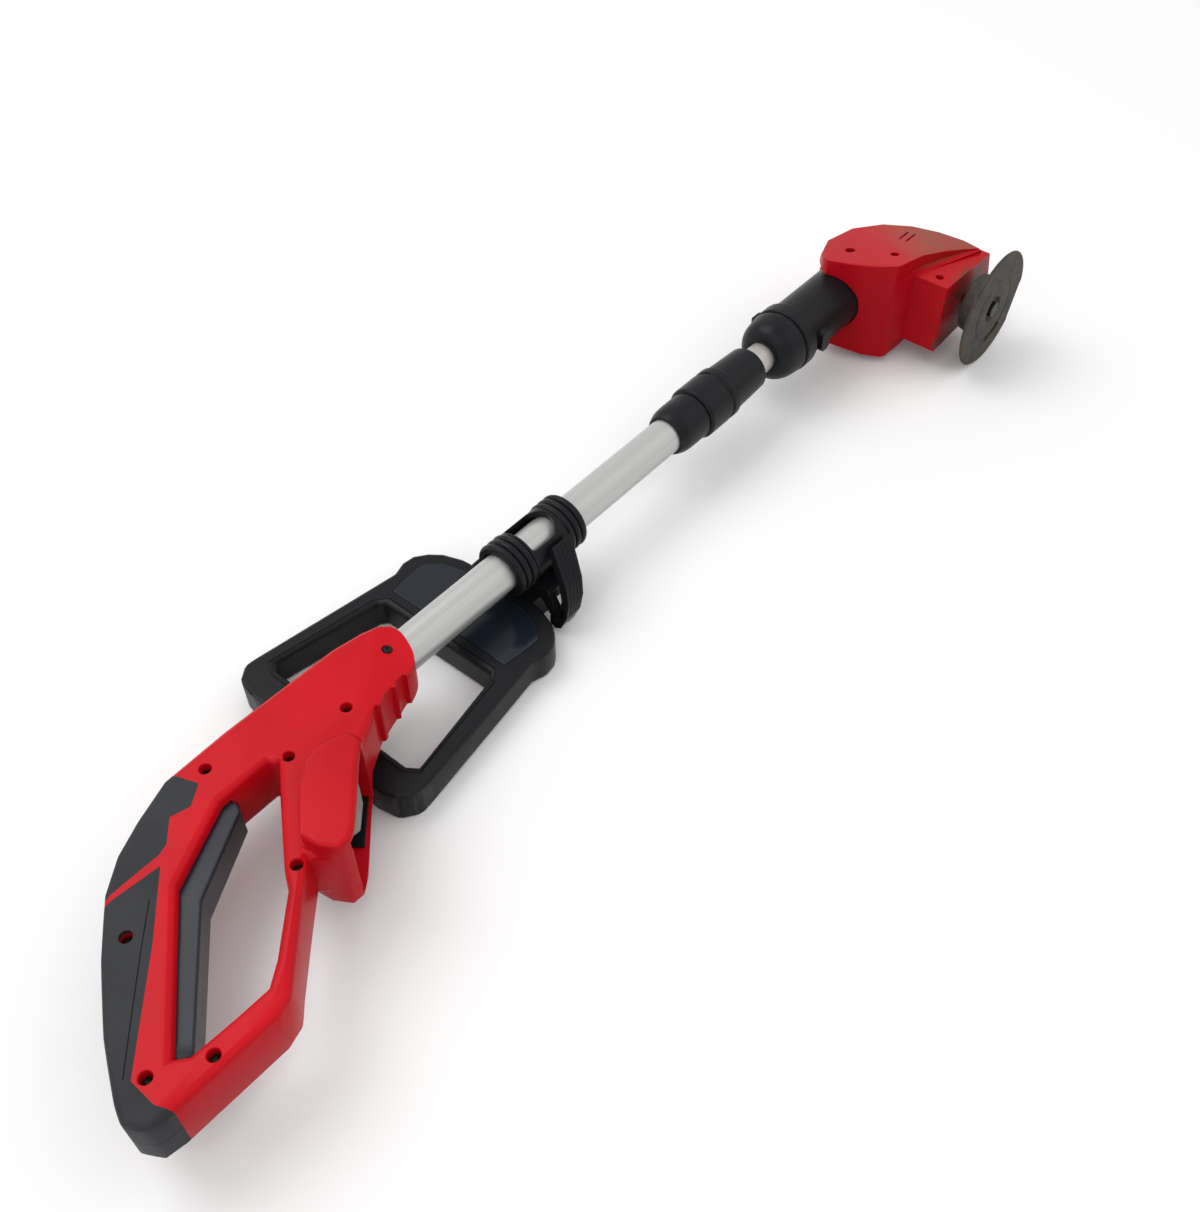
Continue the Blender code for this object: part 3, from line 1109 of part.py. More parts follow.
def make_cutter(mats):
    centre = (MOTOR_X, 0.0, 0.0)
    shaft = rod("motor_shaft", centre, SHAFT_RADIUS, (DISC_FACE + 0.001, MOTOR_HIGH - 0.003), "y", 16)
    finish(shaft, "cutter", mats["steel"])
    fan_low = SKIRT_BOTTOM + HEAD_WALL + BEARING_WIDTH + 0.0030
    hub = SHAFT_RADIUS + SEAM
    fan = pipe("cooling_fan", hub, 0.0060, (fan_low, fan_low + 0.0060), centre, "y", 16)
    for i in range(7):
        angle = 2 * math.pi * i / 7
        blade = block(f"fan_blade_{i}", (0.0050, fan_low, -0.0005), (FAN_RADIUS, fan_low + 0.0060, 0.0005))
        reach = blade.location.x
        blade.rotation_euler = (0.0, -angle, 0.0)
        blade.location = (MOTOR_X + reach * math.cos(angle), blade.location.y, reach * math.sin(angle))
        join(fan, blade)
    finish(fan, "cutter", mats["black"])
    profile = [
        (HUB_RADIUS * 0.8, HUB_TOP), (HUB_RADIUS, HUB_TOP - 0.002), (HUB_RADIUS + 0.003, DISC_FACE + DISC_RIM),
        (DISC_RADIUS - 0.006, DISC_FACE + DISC_RIM), (DISC_RADIUS, DISC_FACE + DISC_THICK),
        (DISC_RADIUS, DISC_FACE + 0.001), (DISC_RADIUS - 0.001, DISC_FACE), (NUT_RADIUS + 0.004, DISC_FACE),
        (NUT_RADIUS + 0.002, DISC_FACE + 0.003), (hub, DISC_FACE + 0.003), (hub, HUB_TOP),
    ]
    disc = turned("cutting_disc", profile, centre, "y", 40, ring=True)
    notch = block("disc_notch", (MOTOR_X + 0.012, DISC_FACE - 0.01, DISC_RADIUS - 0.010), (MOTOR_X + 0.019, DISC_FACE + 0.01, DISC_RADIUS + 0.01))
    slot = rod("disc_pin_slot", (MOTOR_X + 0.006, 0.0, -0.027), 0.0050, (DISC_FACE - 0.01, DISC_FACE + 0.002), "y", 12)
    cut(disc, notch, slot)
    finish(disc, "cutter", mats["disc"])
    nut = rod("disc_nut", centre, NUT_RADIUS, (DISC_FACE - 0.0012, DISC_FACE + 0.0030 - SEAM), "y", 6)
    cut(nut, rod("nut_bore", centre, SHAFT_RADIUS + SEAM, (DISC_FACE - 0.0002, DISC_FACE + 0.01), "y", 12))
    finish(nut, "cutter", mats["steel"])


def make_bodies():
    """One empty for the tool, and one on the axis of each joint."""
    rear = min(x for x, y in BACK)
    tip = MOTOR_X + DISC_RADIUS
    high = HANDLE_OFFSET + HANDLE_HALF_WIDTH
    tool = bpy.data.objects.new("tool", None)
    bpy.data.collections[PARTS].objects.link(tool)
    tool.location = (-(rear + tip) / 2, -(LOOP_LOW + high) / 2, -FLOOR)
    for body, spot in JOINT_SPOTS.items():
        empty = bpy.data.objects.new(axis_name(body), None)
        bpy.data.collections[PARTS].objects.link(empty)
        parent = JOINT_PARENTS[body]
        empty.parent = bpy.data.objects[axis_name(parent)]
        empty.location = Vector(spot) - Vector(JOINT_SPOTS.get(parent, (0.0, 0.0, 0.0)))


def make_materials():
    return {
        "red": material("red_abs", (0.45, 0.01, 0.02), 0.35),
        "soft": material("soft_grip", (0.02, 0.022, 0.025), 0.75),
        "black": material("black_nylon", (0.015, 0.015, 0.018), 0.5),
        "navy": material("dark_blue_abs", (0.02, 0.025, 0.035), 0.3),
        "rubber": material("black_rubber", (0.01, 0.01, 0.01), 0.8),
        "grey": material("grey_nylon", (0.35, 0.34, 0.32), 0.5),
        "disc": material("grey_disc_nylon", (0.08, 0.08, 0.075), 0.6),
        "aluminium": material("anodised_aluminium", (0.6, 0.6, 0.58), 0.35, 1.0),
        "steel": material("zinc_plated_steel", (0.45, 0.45, 0.43), 0.4, 1.0),
        "brass": material("contact_brass", (0.6, 0.45, 0.2), 0.3, 1.0),
    }


def main():
    clear_scene()
    new_collection(PARTS)
    new_collection(CUTTERS)
    make_bodies()
    mats = make_materials()
    make_handle(mats)
    make_trigger(mats)
    make_lock_button(mats)
    make_electrics(mats)
    make_tubes(mats)
    make_twist_clamp(mats)
    make_tube_clamp(mats)
    make_cam_lever(mats)
    make_aux_handle(mats)
    make_neck(mats)
    make_head(mats)
    make_cutter(mats)


main()
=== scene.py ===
"""Cordless string trimmer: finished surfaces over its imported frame, laid out as an add-on.

The shapes are drawn in the tool's own frame, with the tube's axis as X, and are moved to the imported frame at
the end. Lengths are in metres.
"""
import math

import bpy
from bpy.props import FloatProperty, FloatVectorProperty, PointerProperty
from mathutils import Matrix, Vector


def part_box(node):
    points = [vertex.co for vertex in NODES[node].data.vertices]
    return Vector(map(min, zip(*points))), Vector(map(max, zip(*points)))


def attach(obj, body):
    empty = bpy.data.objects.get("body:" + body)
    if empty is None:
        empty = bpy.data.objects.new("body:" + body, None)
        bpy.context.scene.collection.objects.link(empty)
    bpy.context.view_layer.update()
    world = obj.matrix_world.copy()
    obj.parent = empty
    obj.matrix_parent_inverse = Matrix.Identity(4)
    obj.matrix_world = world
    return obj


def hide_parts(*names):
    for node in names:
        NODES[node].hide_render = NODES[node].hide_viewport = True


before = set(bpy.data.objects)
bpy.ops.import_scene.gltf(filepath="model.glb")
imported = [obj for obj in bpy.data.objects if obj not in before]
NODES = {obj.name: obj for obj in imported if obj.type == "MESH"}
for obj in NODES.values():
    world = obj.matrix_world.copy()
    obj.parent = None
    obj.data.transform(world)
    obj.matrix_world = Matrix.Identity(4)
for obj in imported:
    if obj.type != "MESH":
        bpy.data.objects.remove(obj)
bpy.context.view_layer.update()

bl_info = {
    "name": "String trimmer finish",
    "version": (1, 0, 0),
    "blender": (4, 5, 0),
    "location": "3D View > Sidebar > Trimmer",
    "description": "Finished surfaces and materials for a cordless string trimmer",
    "category": "Object",
}

# The place of the tool's own zero, read from the outer tube
TUBE_LOW, TUBE_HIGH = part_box("outer_tube")
TUBE_START = -0.056
TOOL_ZERO = Vector((TUBE_LOW.x - TUBE_START, (TUBE_LOW.y + TUBE_HIGH.y) / 2, (TUBE_LOW.z + TUBE_HIGH.z) / 2))

SEAM = 0.0003
TUBE_RADIUS = 0.0125
TUBE_WALL = 0.0012
TUBE_LIP = 0.0003
SCREW_WAY = 0.0019
# How far a mould reaches: right through the part, past a piece's end, past a face, or only just off it
THROUGH = 0.1
CLEAR = 0.01
PAST = 0.001
SKIN = 0.0001
MERGE = 0.000002
# Corners this near the seam lie in a shell's parting face, and keep this share of their distance from it
SEAM_BAND = 0.0002
SEAM_LEFT = 0.05

# Handle outline, from the body's top round the heel, the beam, the foot, the cheek's root and the collar
BACK = [
    (-0.116, 0.0232), (-0.156, 0.022), (-0.180, 0.013), (-0.199, 0.004), (-0.216, -0.009), (-0.238, -0.036),
    (-0.260, -0.068), (-0.275, -0.096), (-0.279, -0.107), (-0.273, -0.118), (-0.262, -0.120),
]
FRONT = [
    (-0.204, -0.122), (-0.193, -0.119), (-0.184, -0.110), (-0.159, -0.0875), (-0.1395, -0.0705),
    (-0.1345, -0.0760), (-0.1290, -0.0838), (-0.1215, -0.0845), (-0.1130, -0.0778), (-0.0870, -0.0525),
    (-0.0705, -0.0385), (-0.0560, -0.0300), (-0.0310, -0.0240), (-0.0200, -0.0210), (-0.0135, -0.0175),
    (-0.0085, -0.0120), (-0.0035, 0.0020), (-0.0050, 0.0095), (-0.0105, 0.0145), (-0.0200, 0.0180),
    (-0.0400, 0.0215), (-0.0780, 0.0225),
]
WINDOW = [
    (-0.145, -0.010), (-0.114, -0.010), (-0.110, -0.014), (-0.151, -0.065), (-0.157, -0.075),
    (-0.185, -0.099), (-0.197, -0.107), (-0.214, -0.1065), (-0.240, -0.105), (-0.246, -0.100),
    (-0.219, -0.067), (-0.190, -0.032),
]
# The battery bay's cheek, along the bay and out from it, measured from its corner at its angle
CHEEK = [
    (-0.0237, 0.0237), (-0.0160, 0.0077), (-0.0100, -0.0005), (-0.0025, -0.0038), (0.0129, -0.0056),
    (0.0425, -0.0023), (0.0486, 0.0071), (0.0508, 0.0185), (0.0454, 0.0240), (0.0350, 0.0250),
    (-0.0012, 0.0238),
]
BAY_CORNER = (-0.104, -0.036)
BAY_ANGLE = math.radians(42)
SHELL_HALF = 0.018
CHEEK_ROOT = 0.004
CHEEK_FACE = 0.0280
CHEEK_EASE = 0.004
# Small steps along the collar's upper edge, and the fine line in the lower grip
COLLAR_STEPS = [(-0.0150, 0.0185), (-0.0240, 0.0208), (-0.0335, 0.0224)]
STEP_RADIUS = 0.0022
STEP_SINK = 0.0006
GRIP_LINE = [(-0.2035, -0.0290), (-0.2225, -0.0475), (-0.2500, -0.0755), (-0.2660, -0.0920)]
LINE_DEPTH = 0.0007
HANDLE_SCREWS = {
    "rear": (-0.1375, 0.0110), "bay": (-0.1045, -0.0165), "front": (-0.0630, -0.0160),
    "collar": (-0.0190, -0.0020), "upright": (-0.1455, -0.0690), "beam": (-0.2335, -0.1135),
    "heel": (-0.2590, -0.0985), "grip": (-0.2230, -0.0365),
}
RECESS_RADIUS = 0.0033
# How much further the countersinks' cone goes, so that it ends inside the recess and clear of its wall
CONE_SINK = 0.0007

# Pan head screws: radii and drops below the top of the head's rounded edge, the shank, and the cross recess
HEAD_CURVE = [(0.0012, 0.0), (0.0021, 0.0003), (0.0027, 0.0009), (0.0029, 0.0015), (0.0029, 0.0019)]
SHANK_RADIUS = 0.0016
SHANK_POINT = 0.001
CROSS_DEPTH = 0.0011
CROSS_LONG = 0.0018
CROSS_WIDE = 0.0003

# Twist clamp. A section is a line of radii and places along the axis
CLAMP_START = 0.2420
CLAMP_STEP = 0.2710
CLAMP_CORE_END = 0.3000
BASE_RADIUS = 0.0172
CORE_RADIUS = 0.0150
BASE_SECTION = [
    (CORE_RADIUS, CLAMP_CORE_END), (CORE_RADIUS, CLAMP_STEP), (BASE_RADIUS, CLAMP_STEP),
    (BASE_RADIUS, CLAMP_START + 0.008), (BASE_RADIUS - 0.002, CLAMP_START + 0.002),
    (BASE_RADIUS - 0.003, CLAMP_START), (TUBE_RADIUS + SEAM, CLAMP_START),
    (TUBE_RADIUS + SEAM, CLAMP_CORE_END),
]
SLEEVE_START = CLAMP_STEP + SEAM
SLEEVE_GROOVE = SLEEVE_START + 0.0250
SLEEVE_END = 0.3400
SLEEVE_RADIUS = 0.0192
SLEEVE_DEEP = SLEEVE_RADIUS - 0.0015
SLEEVE_BORE = 0.0117
SLEEVE_SECTION = [
    (0.0153, SLEEVE_END), (0.0163, SLEEVE_END - 0.0015), (SLEEVE_DEEP, SLEEVE_GROOVE + 0.0104),
    (SLEEVE_DEEP, SLEEVE_GROOVE + 0.0090), (SLEEVE_RADIUS, SLEEVE_GROOVE + 0.0080),
    (SLEEVE_RADIUS, SLEEVE_GROOVE + 0.0018), (SLEEVE_DEEP, SLEEVE_GROOVE + 0.0007),
    (SLEEVE_DEEP, SLEEVE_GROOVE - 0.0007), (SLEEVE_RADIUS, SLEEVE_GROOVE - 0.0018),
    (SLEEVE_RADIUS, SLEEVE_START + 0.0016), (SLEEVE_RADIUS - 0.0016, SLEEVE_START),
    (CORE_RADIUS + SEAM, SLEEVE_START), (CORE_RADIUS + SEAM, 0.3180), (SLEEVE_BORE + 0.0016, 0.3260),
    (SLEEVE_BORE, 0.3280), (SLEEVE_BORE, SLEEVE_END),
]

# Tube clamp
SADDLE_START = 0.0760
SADDLE_END = 0.1385
SADDLE_RADIUS = 0.0178
SADDLE_BORE = 0.0141
RIB_RING = 0.0160
RIB_MIDDLE = 0.0163
RIB_ROUND = 0.0025
RIBS = 3
SADDLE_WINDOW = [
    (0.0935, -0.0128), (0.1146, -0.0128), (0.1194, -0.0064), (0.1210, 0.0), (0.1194, 0.0064),
    (0.1146, 0.0128), (0.0935, 0.0128),
]
BLOCK_LOW = (0.0930, -0.0246, -0.0254)
BLOCK_HIGH = (0.1230, 0.0270, -0.0150)
HINGE = (0.1010, -0.0355)
HINGE_HOLE = 0.0028
TONGUE_RADIUS = 0.0085
TONGUE_TOP = -0.0214
TONGUE_SIDES = (-0.0050, 0.0270)
LEVER_PIN = (-0.0305, -0.0360)
LEVER_HOLE = 0.0021
LEVER_HOLE_ENDS = (0.0895, 0.1215)
EAR_ROOT = [(0.0120, 0.0116), (0.0060, 0.0176)]
EAR_RADIUS = 0.0040
EAR_SIDES = (0.0930, 0.0980)

# The cam lever's outer face seen along the tube, and where its two sides run, from its foot to its tip
LEVER_CURVE = [
    (-0.0405, -0.0380), (-0.0390, -0.0300), (-0.0386, -0.0200), (-0.0348, -0.0100), (-0.0282, 0.0000),
    (-0.0226, 0.0080), (-0.0180, 0.0150),
]
LEVER_FOOT = (-0.0450, 0.0895, 0.1015)
LEVER_TIP = (0.0150, 0.1040, 0.1215)
LEVER_FLUTES = 4

# Auxiliary handle: its middle and its two faces, and on one side of it the outline, opening and groove
HANDLE_MIDDLE = 0.0110
HANDLE_TOP = -0.0250
HANDLE_UNDER = -0.0460
FRAME_OUTER = [
    (-0.0740, 0.0520), (-0.0710, 0.0660), (-0.0600, 0.0740), (0.0500, 0.0585), (0.0600, 0.0615),
    (0.0690, 0.0605), (0.0770, 0.0545), (0.0830, 0.0465), (0.0880, 0.0320),
]
FRAME_INNER = [(-0.0510, 0.0540), (-0.0470, 0.0600), (0.0240, 0.0475), (0.0280, 0.0440)]
# The groove starts and ends a little past the middle, so that its two halves run into each other
FRAME_LINE = [
    (-0.0555, -0.0005), (-0.0555, 0.0550), (-0.0500, 0.0638), (0.0250, 0.0516), (0.0325, 0.0450),
    (0.0325, -0.0005),
]
LUGS_START = 0.0790
LUGS_END = 0.1150
LUGS_HALF = 0.0290

# Cone and neck
CONE_START = 0.3560
CONE_END = 0.3920
CONE_RADIUS = 0.0245
CONE_BORE = 0.0113
FLANGE_RADIUS = 0.0252
FLANGE_START = CONE_END - 0.0120
SOCKET_START = 0.3790
SPIGOT_RADIUS = 0.0160
CONE_SECTION = [
    (FLANGE_RADIUS, CONE_END), (FLANGE_RADIUS, FLANGE_START + 0.001), (FLANGE_RADIUS - 0.001, FLANGE_START),
    (CONE_RADIUS - 0.0014, FLANGE_START), (CONE_RADIUS - 0.0014, FLANGE_START - 0.001),
    (CONE_RADIUS, FLANGE_START - 0.002), (CONE_RADIUS * 0.985, FLANGE_START - 0.007),
    (CONE_RADIUS * 0.93, CONE_START + 0.009), (CONE_RADIUS * 0.82, CONE_START + 0.004),
    (CONE_RADIUS * 0.68, CONE_START + 0.001), (0.0140, CONE_START), (CONE_BORE, CONE_START),
    (CONE_BORE, SOCKET_START - SEAM), (SPIGOT_RADIUS + SEAM, SOCKET_START - SEAM),
    (SPIGOT_RADIUS + SEAM, CONE_END),
]
NECK_RADIUS = 0.0224
NECK_START = CONE_END + SEAM
NECK_BORE = 0.0080
NECK_BORE_END = 0.4400
PIVOT_X = 0.4680
PIVOT_HOLE = 0.0038
NECK_END = PIVOT_X + NECK_RADIUS + 0.002
NECK_SECTION = [
    (0.0, NECK_END), (NECK_RADIUS, NECK_END), (NECK_RADIUS, NECK_START + 0.0010),
    (NECK_RADIUS - 0.0003, NECK_START + 0.0003), (NECK_RADIUS - 0.0010, NECK_START),
    (SPIGOT_RADIUS, NECK_START), (SPIGOT_RADIUS, SOCKET_START), (NECK_BORE, SOCKET_START),
    (NECK_BORE, NECK_BORE_END), (0.0, NECK_BORE_END),
]
# The knuckle is round about the pivot, this many degrees to each side, and clear of this much beyond it
KNUCKLE_TURN = 80
KNUCKLE_ROOM = 0.05
# The cone's lug, which reaches over the neck: places along the axis, and heights above it
LUG_UNDER = NECK_RADIUS + SEAM * 2
LUG_TOP = FLANGE_RADIUS + 0.0045
LUG = [
    (FLANGE_START + 0.004, 0.0200), (CONE_END - 0.001, 0.0200), (CONE_END - 0.001, LUG_UNDER),
    (CONE_END + 0.005, LUG_UNDER), (CONE_END + 0.005, LUG_TOP - 0.002), (CONE_END + 0.003, LUG_TOP),
    (FLANGE_START + 0.006, LUG_TOP), (FLANGE_START + 0.004, LUG_TOP - 0.002),
]
LUG_HALF = 0.0045
# The catch's window in the neck: its middle, half its width, half its height, its corners and its depth
CATCH = (0.4030, 0.0055, 0.0085)
CATCH_CORNER = 0.0028
CATCH_DEPTH = (-0.04, -0.009)

# Motor head and disc
HEAD_SCREWS = {"wall": (0.4795, -0.0310), "skirt": (0.4880, -0.0660)}
MOTOR_X = 0.5160
DISC_RADIUS = 0.0450
DISC_FACE = -0.1015
HUB_RADIUS = 0.0215
HUB_TOP = -0.0820
DISC_SECTION = [
    (HUB_RADIUS * 0.78, HUB_TOP), (HUB_RADIUS, HUB_TOP - 0.002), (HUB_RADIUS + 0.003, DISC_FACE + 0.0042),
    (HUB_RADIUS + 0.005, DISC_FACE + 0.0034), (DISC_RADIUS - 0.006, DISC_FACE + 0.0034),
    (DISC_RADIUS, DISC_FACE + 0.0020), (DISC_RADIUS, DISC_FACE + 0.0008), (DISC_RADIUS - 0.001, DISC_FACE),
    (HUB_RADIUS + 0.0045, DISC_FACE), (HUB_RADIUS + 0.0038, DISC_FACE + 0.0005),
    (HUB_RADIUS + 0.0028, DISC_FACE + 0.0005), (HUB_RADIUS + 0.0020, DISC_FACE), (0.0105, DISC_FACE),
    (0.0085, DISC_FACE + 0.003), (0.0028, DISC_FACE + 0.003), (0.0028, HUB_TOP),
]
# The disc's flat, as radii and degrees round its middle, and its curved slot
FLAT = [
    (DISC_RADIUS + 0.0005, 8), (0.08, 8), (0.08, -42), (DISC_RADIUS + 0.0005, -42),
    (DISC_RADIUS - 0.0030, -36), (DISC_RADIUS - 0.0032, 2),
]
SLOT_RADII = (0.0300, 0.0240)
SLOT_TURN = (-95, -50)
SLOT_DEPTH = 0.0022

# Inner pieces that show as packed, with their finishes
HIDDEN_NODES = {
    "trigger_pin": "steel", "trigger_spring": "steel", "power_switch": "nylon", "motor_lead": "rubber",
    "clamp_collet": "trigger", "clamp_liner": "rubber", "lever_pin": "steel", "handle_hinge_pin": "steel",
    "head_pivot_pin": "screw", "motor_can": "steel", "shaft_bearing": "steel", "cooling_fan": "nylon",
}

# Stage: the floor as it is seen and as it lights the part, the world, and each lamp's place, size and power
FLOOR_SIZE = 12.0
FLOOR_SEEN = (0.96, 0.96, 0.96)
FLOOR_LIT = (0.40, 0.40, 0.40)
WORLD_LIGHT = 0.76
LAMPS = (
    ("key", (-0.4, 1.3, 2.1), 1.6, 21.0), ("side", (-1.4, -0.8, 1.9), 1.8, 6.0),
    ("fill", (1.4, -1.3, 1.6), 2.0, 4.0),
)
LAMP_TARGET = (0.0, 0.0, 0.05)
# The photo's camera: its place from the tool's zero, its heading and downward tilt, and its lens in mm
CAMERA_PLACE = (-0.310, -0.397, 0.575)
CAMERA_HEADING = math.radians(39.44)
CAMERA_TILT = math.radians(47.71)
CAMERA_SENSOR = 36.0
CAMERA_LENS = 38.61
CAMERA_NEAR = 0.01


# Colours and sizes

def linear(code):
    """An sRGB hex colour as the linear numbers that a shader takes."""
    parts = [int(code[i:i + 2], 16) / 255 for i in (1, 3, 5)]
    return tuple(c / 12.92 if c <= 0.04045 else ((c + 0.055) / 1.055) ** 2.4 for c in parts)


def colour_field(name, description, code):
    return FloatVectorProperty(name=name, description=description, subtype="COLOR", default=linear(code),
                               min=0.0, max=1.0)


def size_field(name, description, default, least, most):
    return FloatProperty(name=name, description=description, subtype="DISTANCE", unit="LENGTH",
                         default=default, min=least, max=most)


class TrimmerColours(bpy.types.PropertyGroup):
    """Base colours of the materials"""
    red: colour_field("Red ABS", "Moulded shells of the handle and the motor head", "#C50E1C")
    grip: colour_field("Soft grip", "Soft inlays of the rear handle", "#2A2B2F")
    nylon: colour_field("Black nylon", "Clamps, auxiliary handle, cone and neck", "#16171A")
    trigger: colour_field("Dark blue ABS", "Trigger, lock-off button and cover panels", "#1A1F29")
    disc: colour_field("Disc nylon", "Cutting disc", "#4A4743")
    tube: colour_field("Anodised tube", "Outer tube", "#C6C6C4")
    dust: colour_field("Dust", "Dry soil on the motor head and the disc", "#6B5A3E")


class TrimmerSizes(bpy.types.PropertyGroup):
    """Sizes of the small forms"""
    recess_rim: size_field("Recess rim", "Width of the chamfer round a screw recess", 0.0005, 0.0001, 0.002)
    head_edge: size_field("Head edge", "Rounding of the motor head's edges", 0.0011, 0.0003, 0.002)
    flute: size_field("Lever flute", "Radius of the cam lever's flutes", 0.0010, 0.0004, 0.0015)
    groove: size_field("Trim groove", "Width of the grooves in grip and frame", 0.0006, 0.0002, 0.0015)


# Materials

# Index of refraction of the moulded plastics and of the elastomer
PLASTIC = 1.53
ELASTOMER = 1.50


def fill(tree, node, inputs):
    """Fill a node's inputs: one given as a socket is linked, and any other one is set."""
    for key, value in inputs.items():
        if isinstance(value, bpy.types.NodeSocket):
            tree.links.new(value, node.inputs[key])
        else:
            node.inputs[key].default_value = value


def put(tree, kind, inputs=None, **settings):
    """Add a node with its settings and its inputs, and give its outputs."""
    made = tree.nodes.new(kind)
    for key, value in settings.items():
        setattr(made, key, value)
    fill(tree, made, inputs or {})
    return made.outputs


SOCKETS = {"rough": "Roughness", "gloss": "Specular IOR Level", "ior": "IOR", "metal": "Metallic"}


def new_finish(name, **inputs):
    """An empty material: its node tree, its shader with its numbers, and the object's own coordinates."""
    made = bpy.data.materials.new(name)
    made.use_nodes = True
    tree = made.node_tree
    shader = tree.nodes["Principled BSDF"]
    fill(tree, shader, {SOCKETS[key]: value for key, value in inputs.items()})
    return made, tree, shader, put(tree, "ShaderNodeTexCoord")["Object"]


def per_metre(size_mm):
    """The scale of a noise whose patches have a size in millimetres."""
    return 1000 / size_mm


def shade(colour, by):
    return tuple(min(1.0, c * by) for c in colour)


def tint(tree, low, high, pattern, start=0.3, end=0.7):
    """Two colours mixed by a pattern that is stretched between start and end."""
    ramp = put(tree, "ShaderNodeMapRange", {"From Min": start, "From Max": end, "Value": pattern})
    return put(tree, "ShaderNodeMix", {"A": (*low, 1.0), "B": (*high, 1.0), "Factor": ramp["Result"]},
               data_type="RGBA")["Result"]


def grain(tree, place, size_mm, depth_mm, strength):
    """Fine moulded grain: bumps of the given size and depth."""
    noise = put(tree, "ShaderNodeTexNoise",
                {"Scale": per_metre(size_mm), "Detail": 2.0, "Roughness": 0.6, "Vector": place})
    return put(tree, "ShaderNodeBump",
               {"Strength": strength, "Distance": depth_mm / 1000, "Height": noise["Fac"]})["Normal"]


def red_skin(tree, shader, place, colour):
    """The moulded red's colour, gloss and grain, with pale rub marks a few millimetres long."""
    cloud = put(tree, "ShaderNodeTexNoise", {"Scale": per_metre(55), "Detail": 4.0, "Vector": place})
    scuff = put(tree, "ShaderNodeTexNoise",
                {"Scale": per_metre(6), "Detail": 5.0, "Roughness": 0.7, "Vector": place})
    base = tint(tree, shade(colour, 0.88), shade(colour, 1.08), cloud["Fac"])
    marks = put(tree, "ShaderNodeMapRange",
                {"From Min": 0.67, "From Max": 0.78, "To Max": 0.6, "Value": scuff["Fac"]})
    rough = put(tree, "ShaderNodeMapRange", {"To Min": 0.27, "To Max": 0.40, "Value": cloud["Fac"]})
    fill(tree, shader, {"Roughness": rough["Result"], "Normal": grain(tree, place, 0.9, 0.03, 0.2)})
    return put(tree, "ShaderNodeMix", {"A": base, "B": (*linear("#D04048"), 1.0), "Factor": marks["Result"]},
               data_type="RGBA")["Result"]


def moulded_red_abs(colour):
    """Injection moulded ABS: clear red with a satin gloss, and faint pale marks where it has been handled."""
    made, tree, shader, place = new_finish("moulded_red_abs", ior=PLASTIC, gloss=0.12)
    fill(tree, shader, {"Base Color": red_skin(tree, shader, place, colour)})
    return made


def soiled_red_abs(colour, dust):
    """The head's moulded ABS under dry soil, which dulls its flat top, with painted shade laid in patches of
    dark soil colour over the skirt's lower end.
    """
    made, tree, shader, place = new_finish("soiled_red_abs", ior=PLASTIC, gloss=0.10)
    base = red_skin(tree, shader, place, shade(colour, 0.88))
    patch = put(tree, "ShaderNodeTexNoise",
                {"Scale": per_metre(14), "Detail": 6.0, "Roughness": 0.65, "Vector": place})["Fac"]
    tool = put(tree, "ShaderNodeMapping", {"Location": -TOOL_ZERO, "Vector": place})["Vector"]

    # The film: on the dome, growing towards the disc, in patches, and most on faces that look up
    along = put(tree, "ShaderNodeVectorMath", {0: tool, 1: (0.85, -0.52, 0.0)}, operation="DOT_PRODUCT")
    above = put(tree, "ShaderNodeVectorMath", {0: tool, 1: (0.34, 1.0, 0.0)}, operation="DOT_PRODUCT")
    facing = tree.nodes["Texture Coordinate"].outputs["Normal"]
    facing = put(tree, "ShaderNodeSeparateXYZ", {"Vector": facing})
    film = put(tree, "ShaderNodeMapRange", {"From Min": 0.424, "From Max": 0.456, "Value": along["Value"]})
    film = film["Result"]
    for value, low, high, least, most in (
            (facing["Z"], 0.80, 0.97, 0.10, 0.62), (patch, 0.30, 0.62, 0.45, 1.0),
            (above["Value"], 0.1135, 0.1175, 0.0, 1.0)):
        mask = put(tree, "ShaderNodeMapRange",
                   {"From Min": low, "From Max": high, "To Min": least, "To Max": most, "Value": value})
        film = put(tree, "ShaderNodeMath", {0: film, 1: mask["Result"]}, operation="MULTIPLY")["Value"]
    base = put(tree, "ShaderNodeMix", {"A": base, "B": (*dust, 1.0), "Factor": film},
               data_type="RGBA")["Result"]

    # Painted shade over the skirt's lower end, laid in patches of dark soil colour
    rim = put(tree, "ShaderNodeMapRange",
              {"From Min": -0.0715, "From Max": -0.0775, "To Max": 0.8,
               "Value": put(tree, "ShaderNodeSeparateXYZ", {"Vector": tool})["Y"]})
    patchy_mask = put(tree, "ShaderNodeMapRange", {"From Min": 0.50, "From Max": 0.58, "Value": patch})
    edge = put(tree, "ShaderNodeMath", {0: rim["Result"], 1: patchy_mask["Result"]}, operation="MULTIPLY")
    base = put(tree, "ShaderNodeMix", {"A": base, "B": (*shade(dust, 0.55), 1.0), "Factor": edge["Value"]},
               data_type="RGBA")
    fill(tree, shader, {"Base Color": base["Result"]})
    return made


def soft_elastomer(colour):
    """Overmoulded elastomer: dark grey and matt, with a fine leathery grain that shows as a dull sheen."""
    made, tree, shader, place = new_finish("overmoulded_elastomer", rough=0.60, ior=ELASTOMER, gloss=0.28)
    cloud = put(tree, "ShaderNodeTexNoise", {"Scale": per_metre(25), "Detail": 3.0, "Vector": place})
    base = tint(tree, shade(colour, 0.8), shade(colour, 1.25), cloud["Fac"])
    fill(tree, shader, {"Base Color": base, "Normal": grain(tree, place, 0.8, 0.06, 0.45)})
    return made


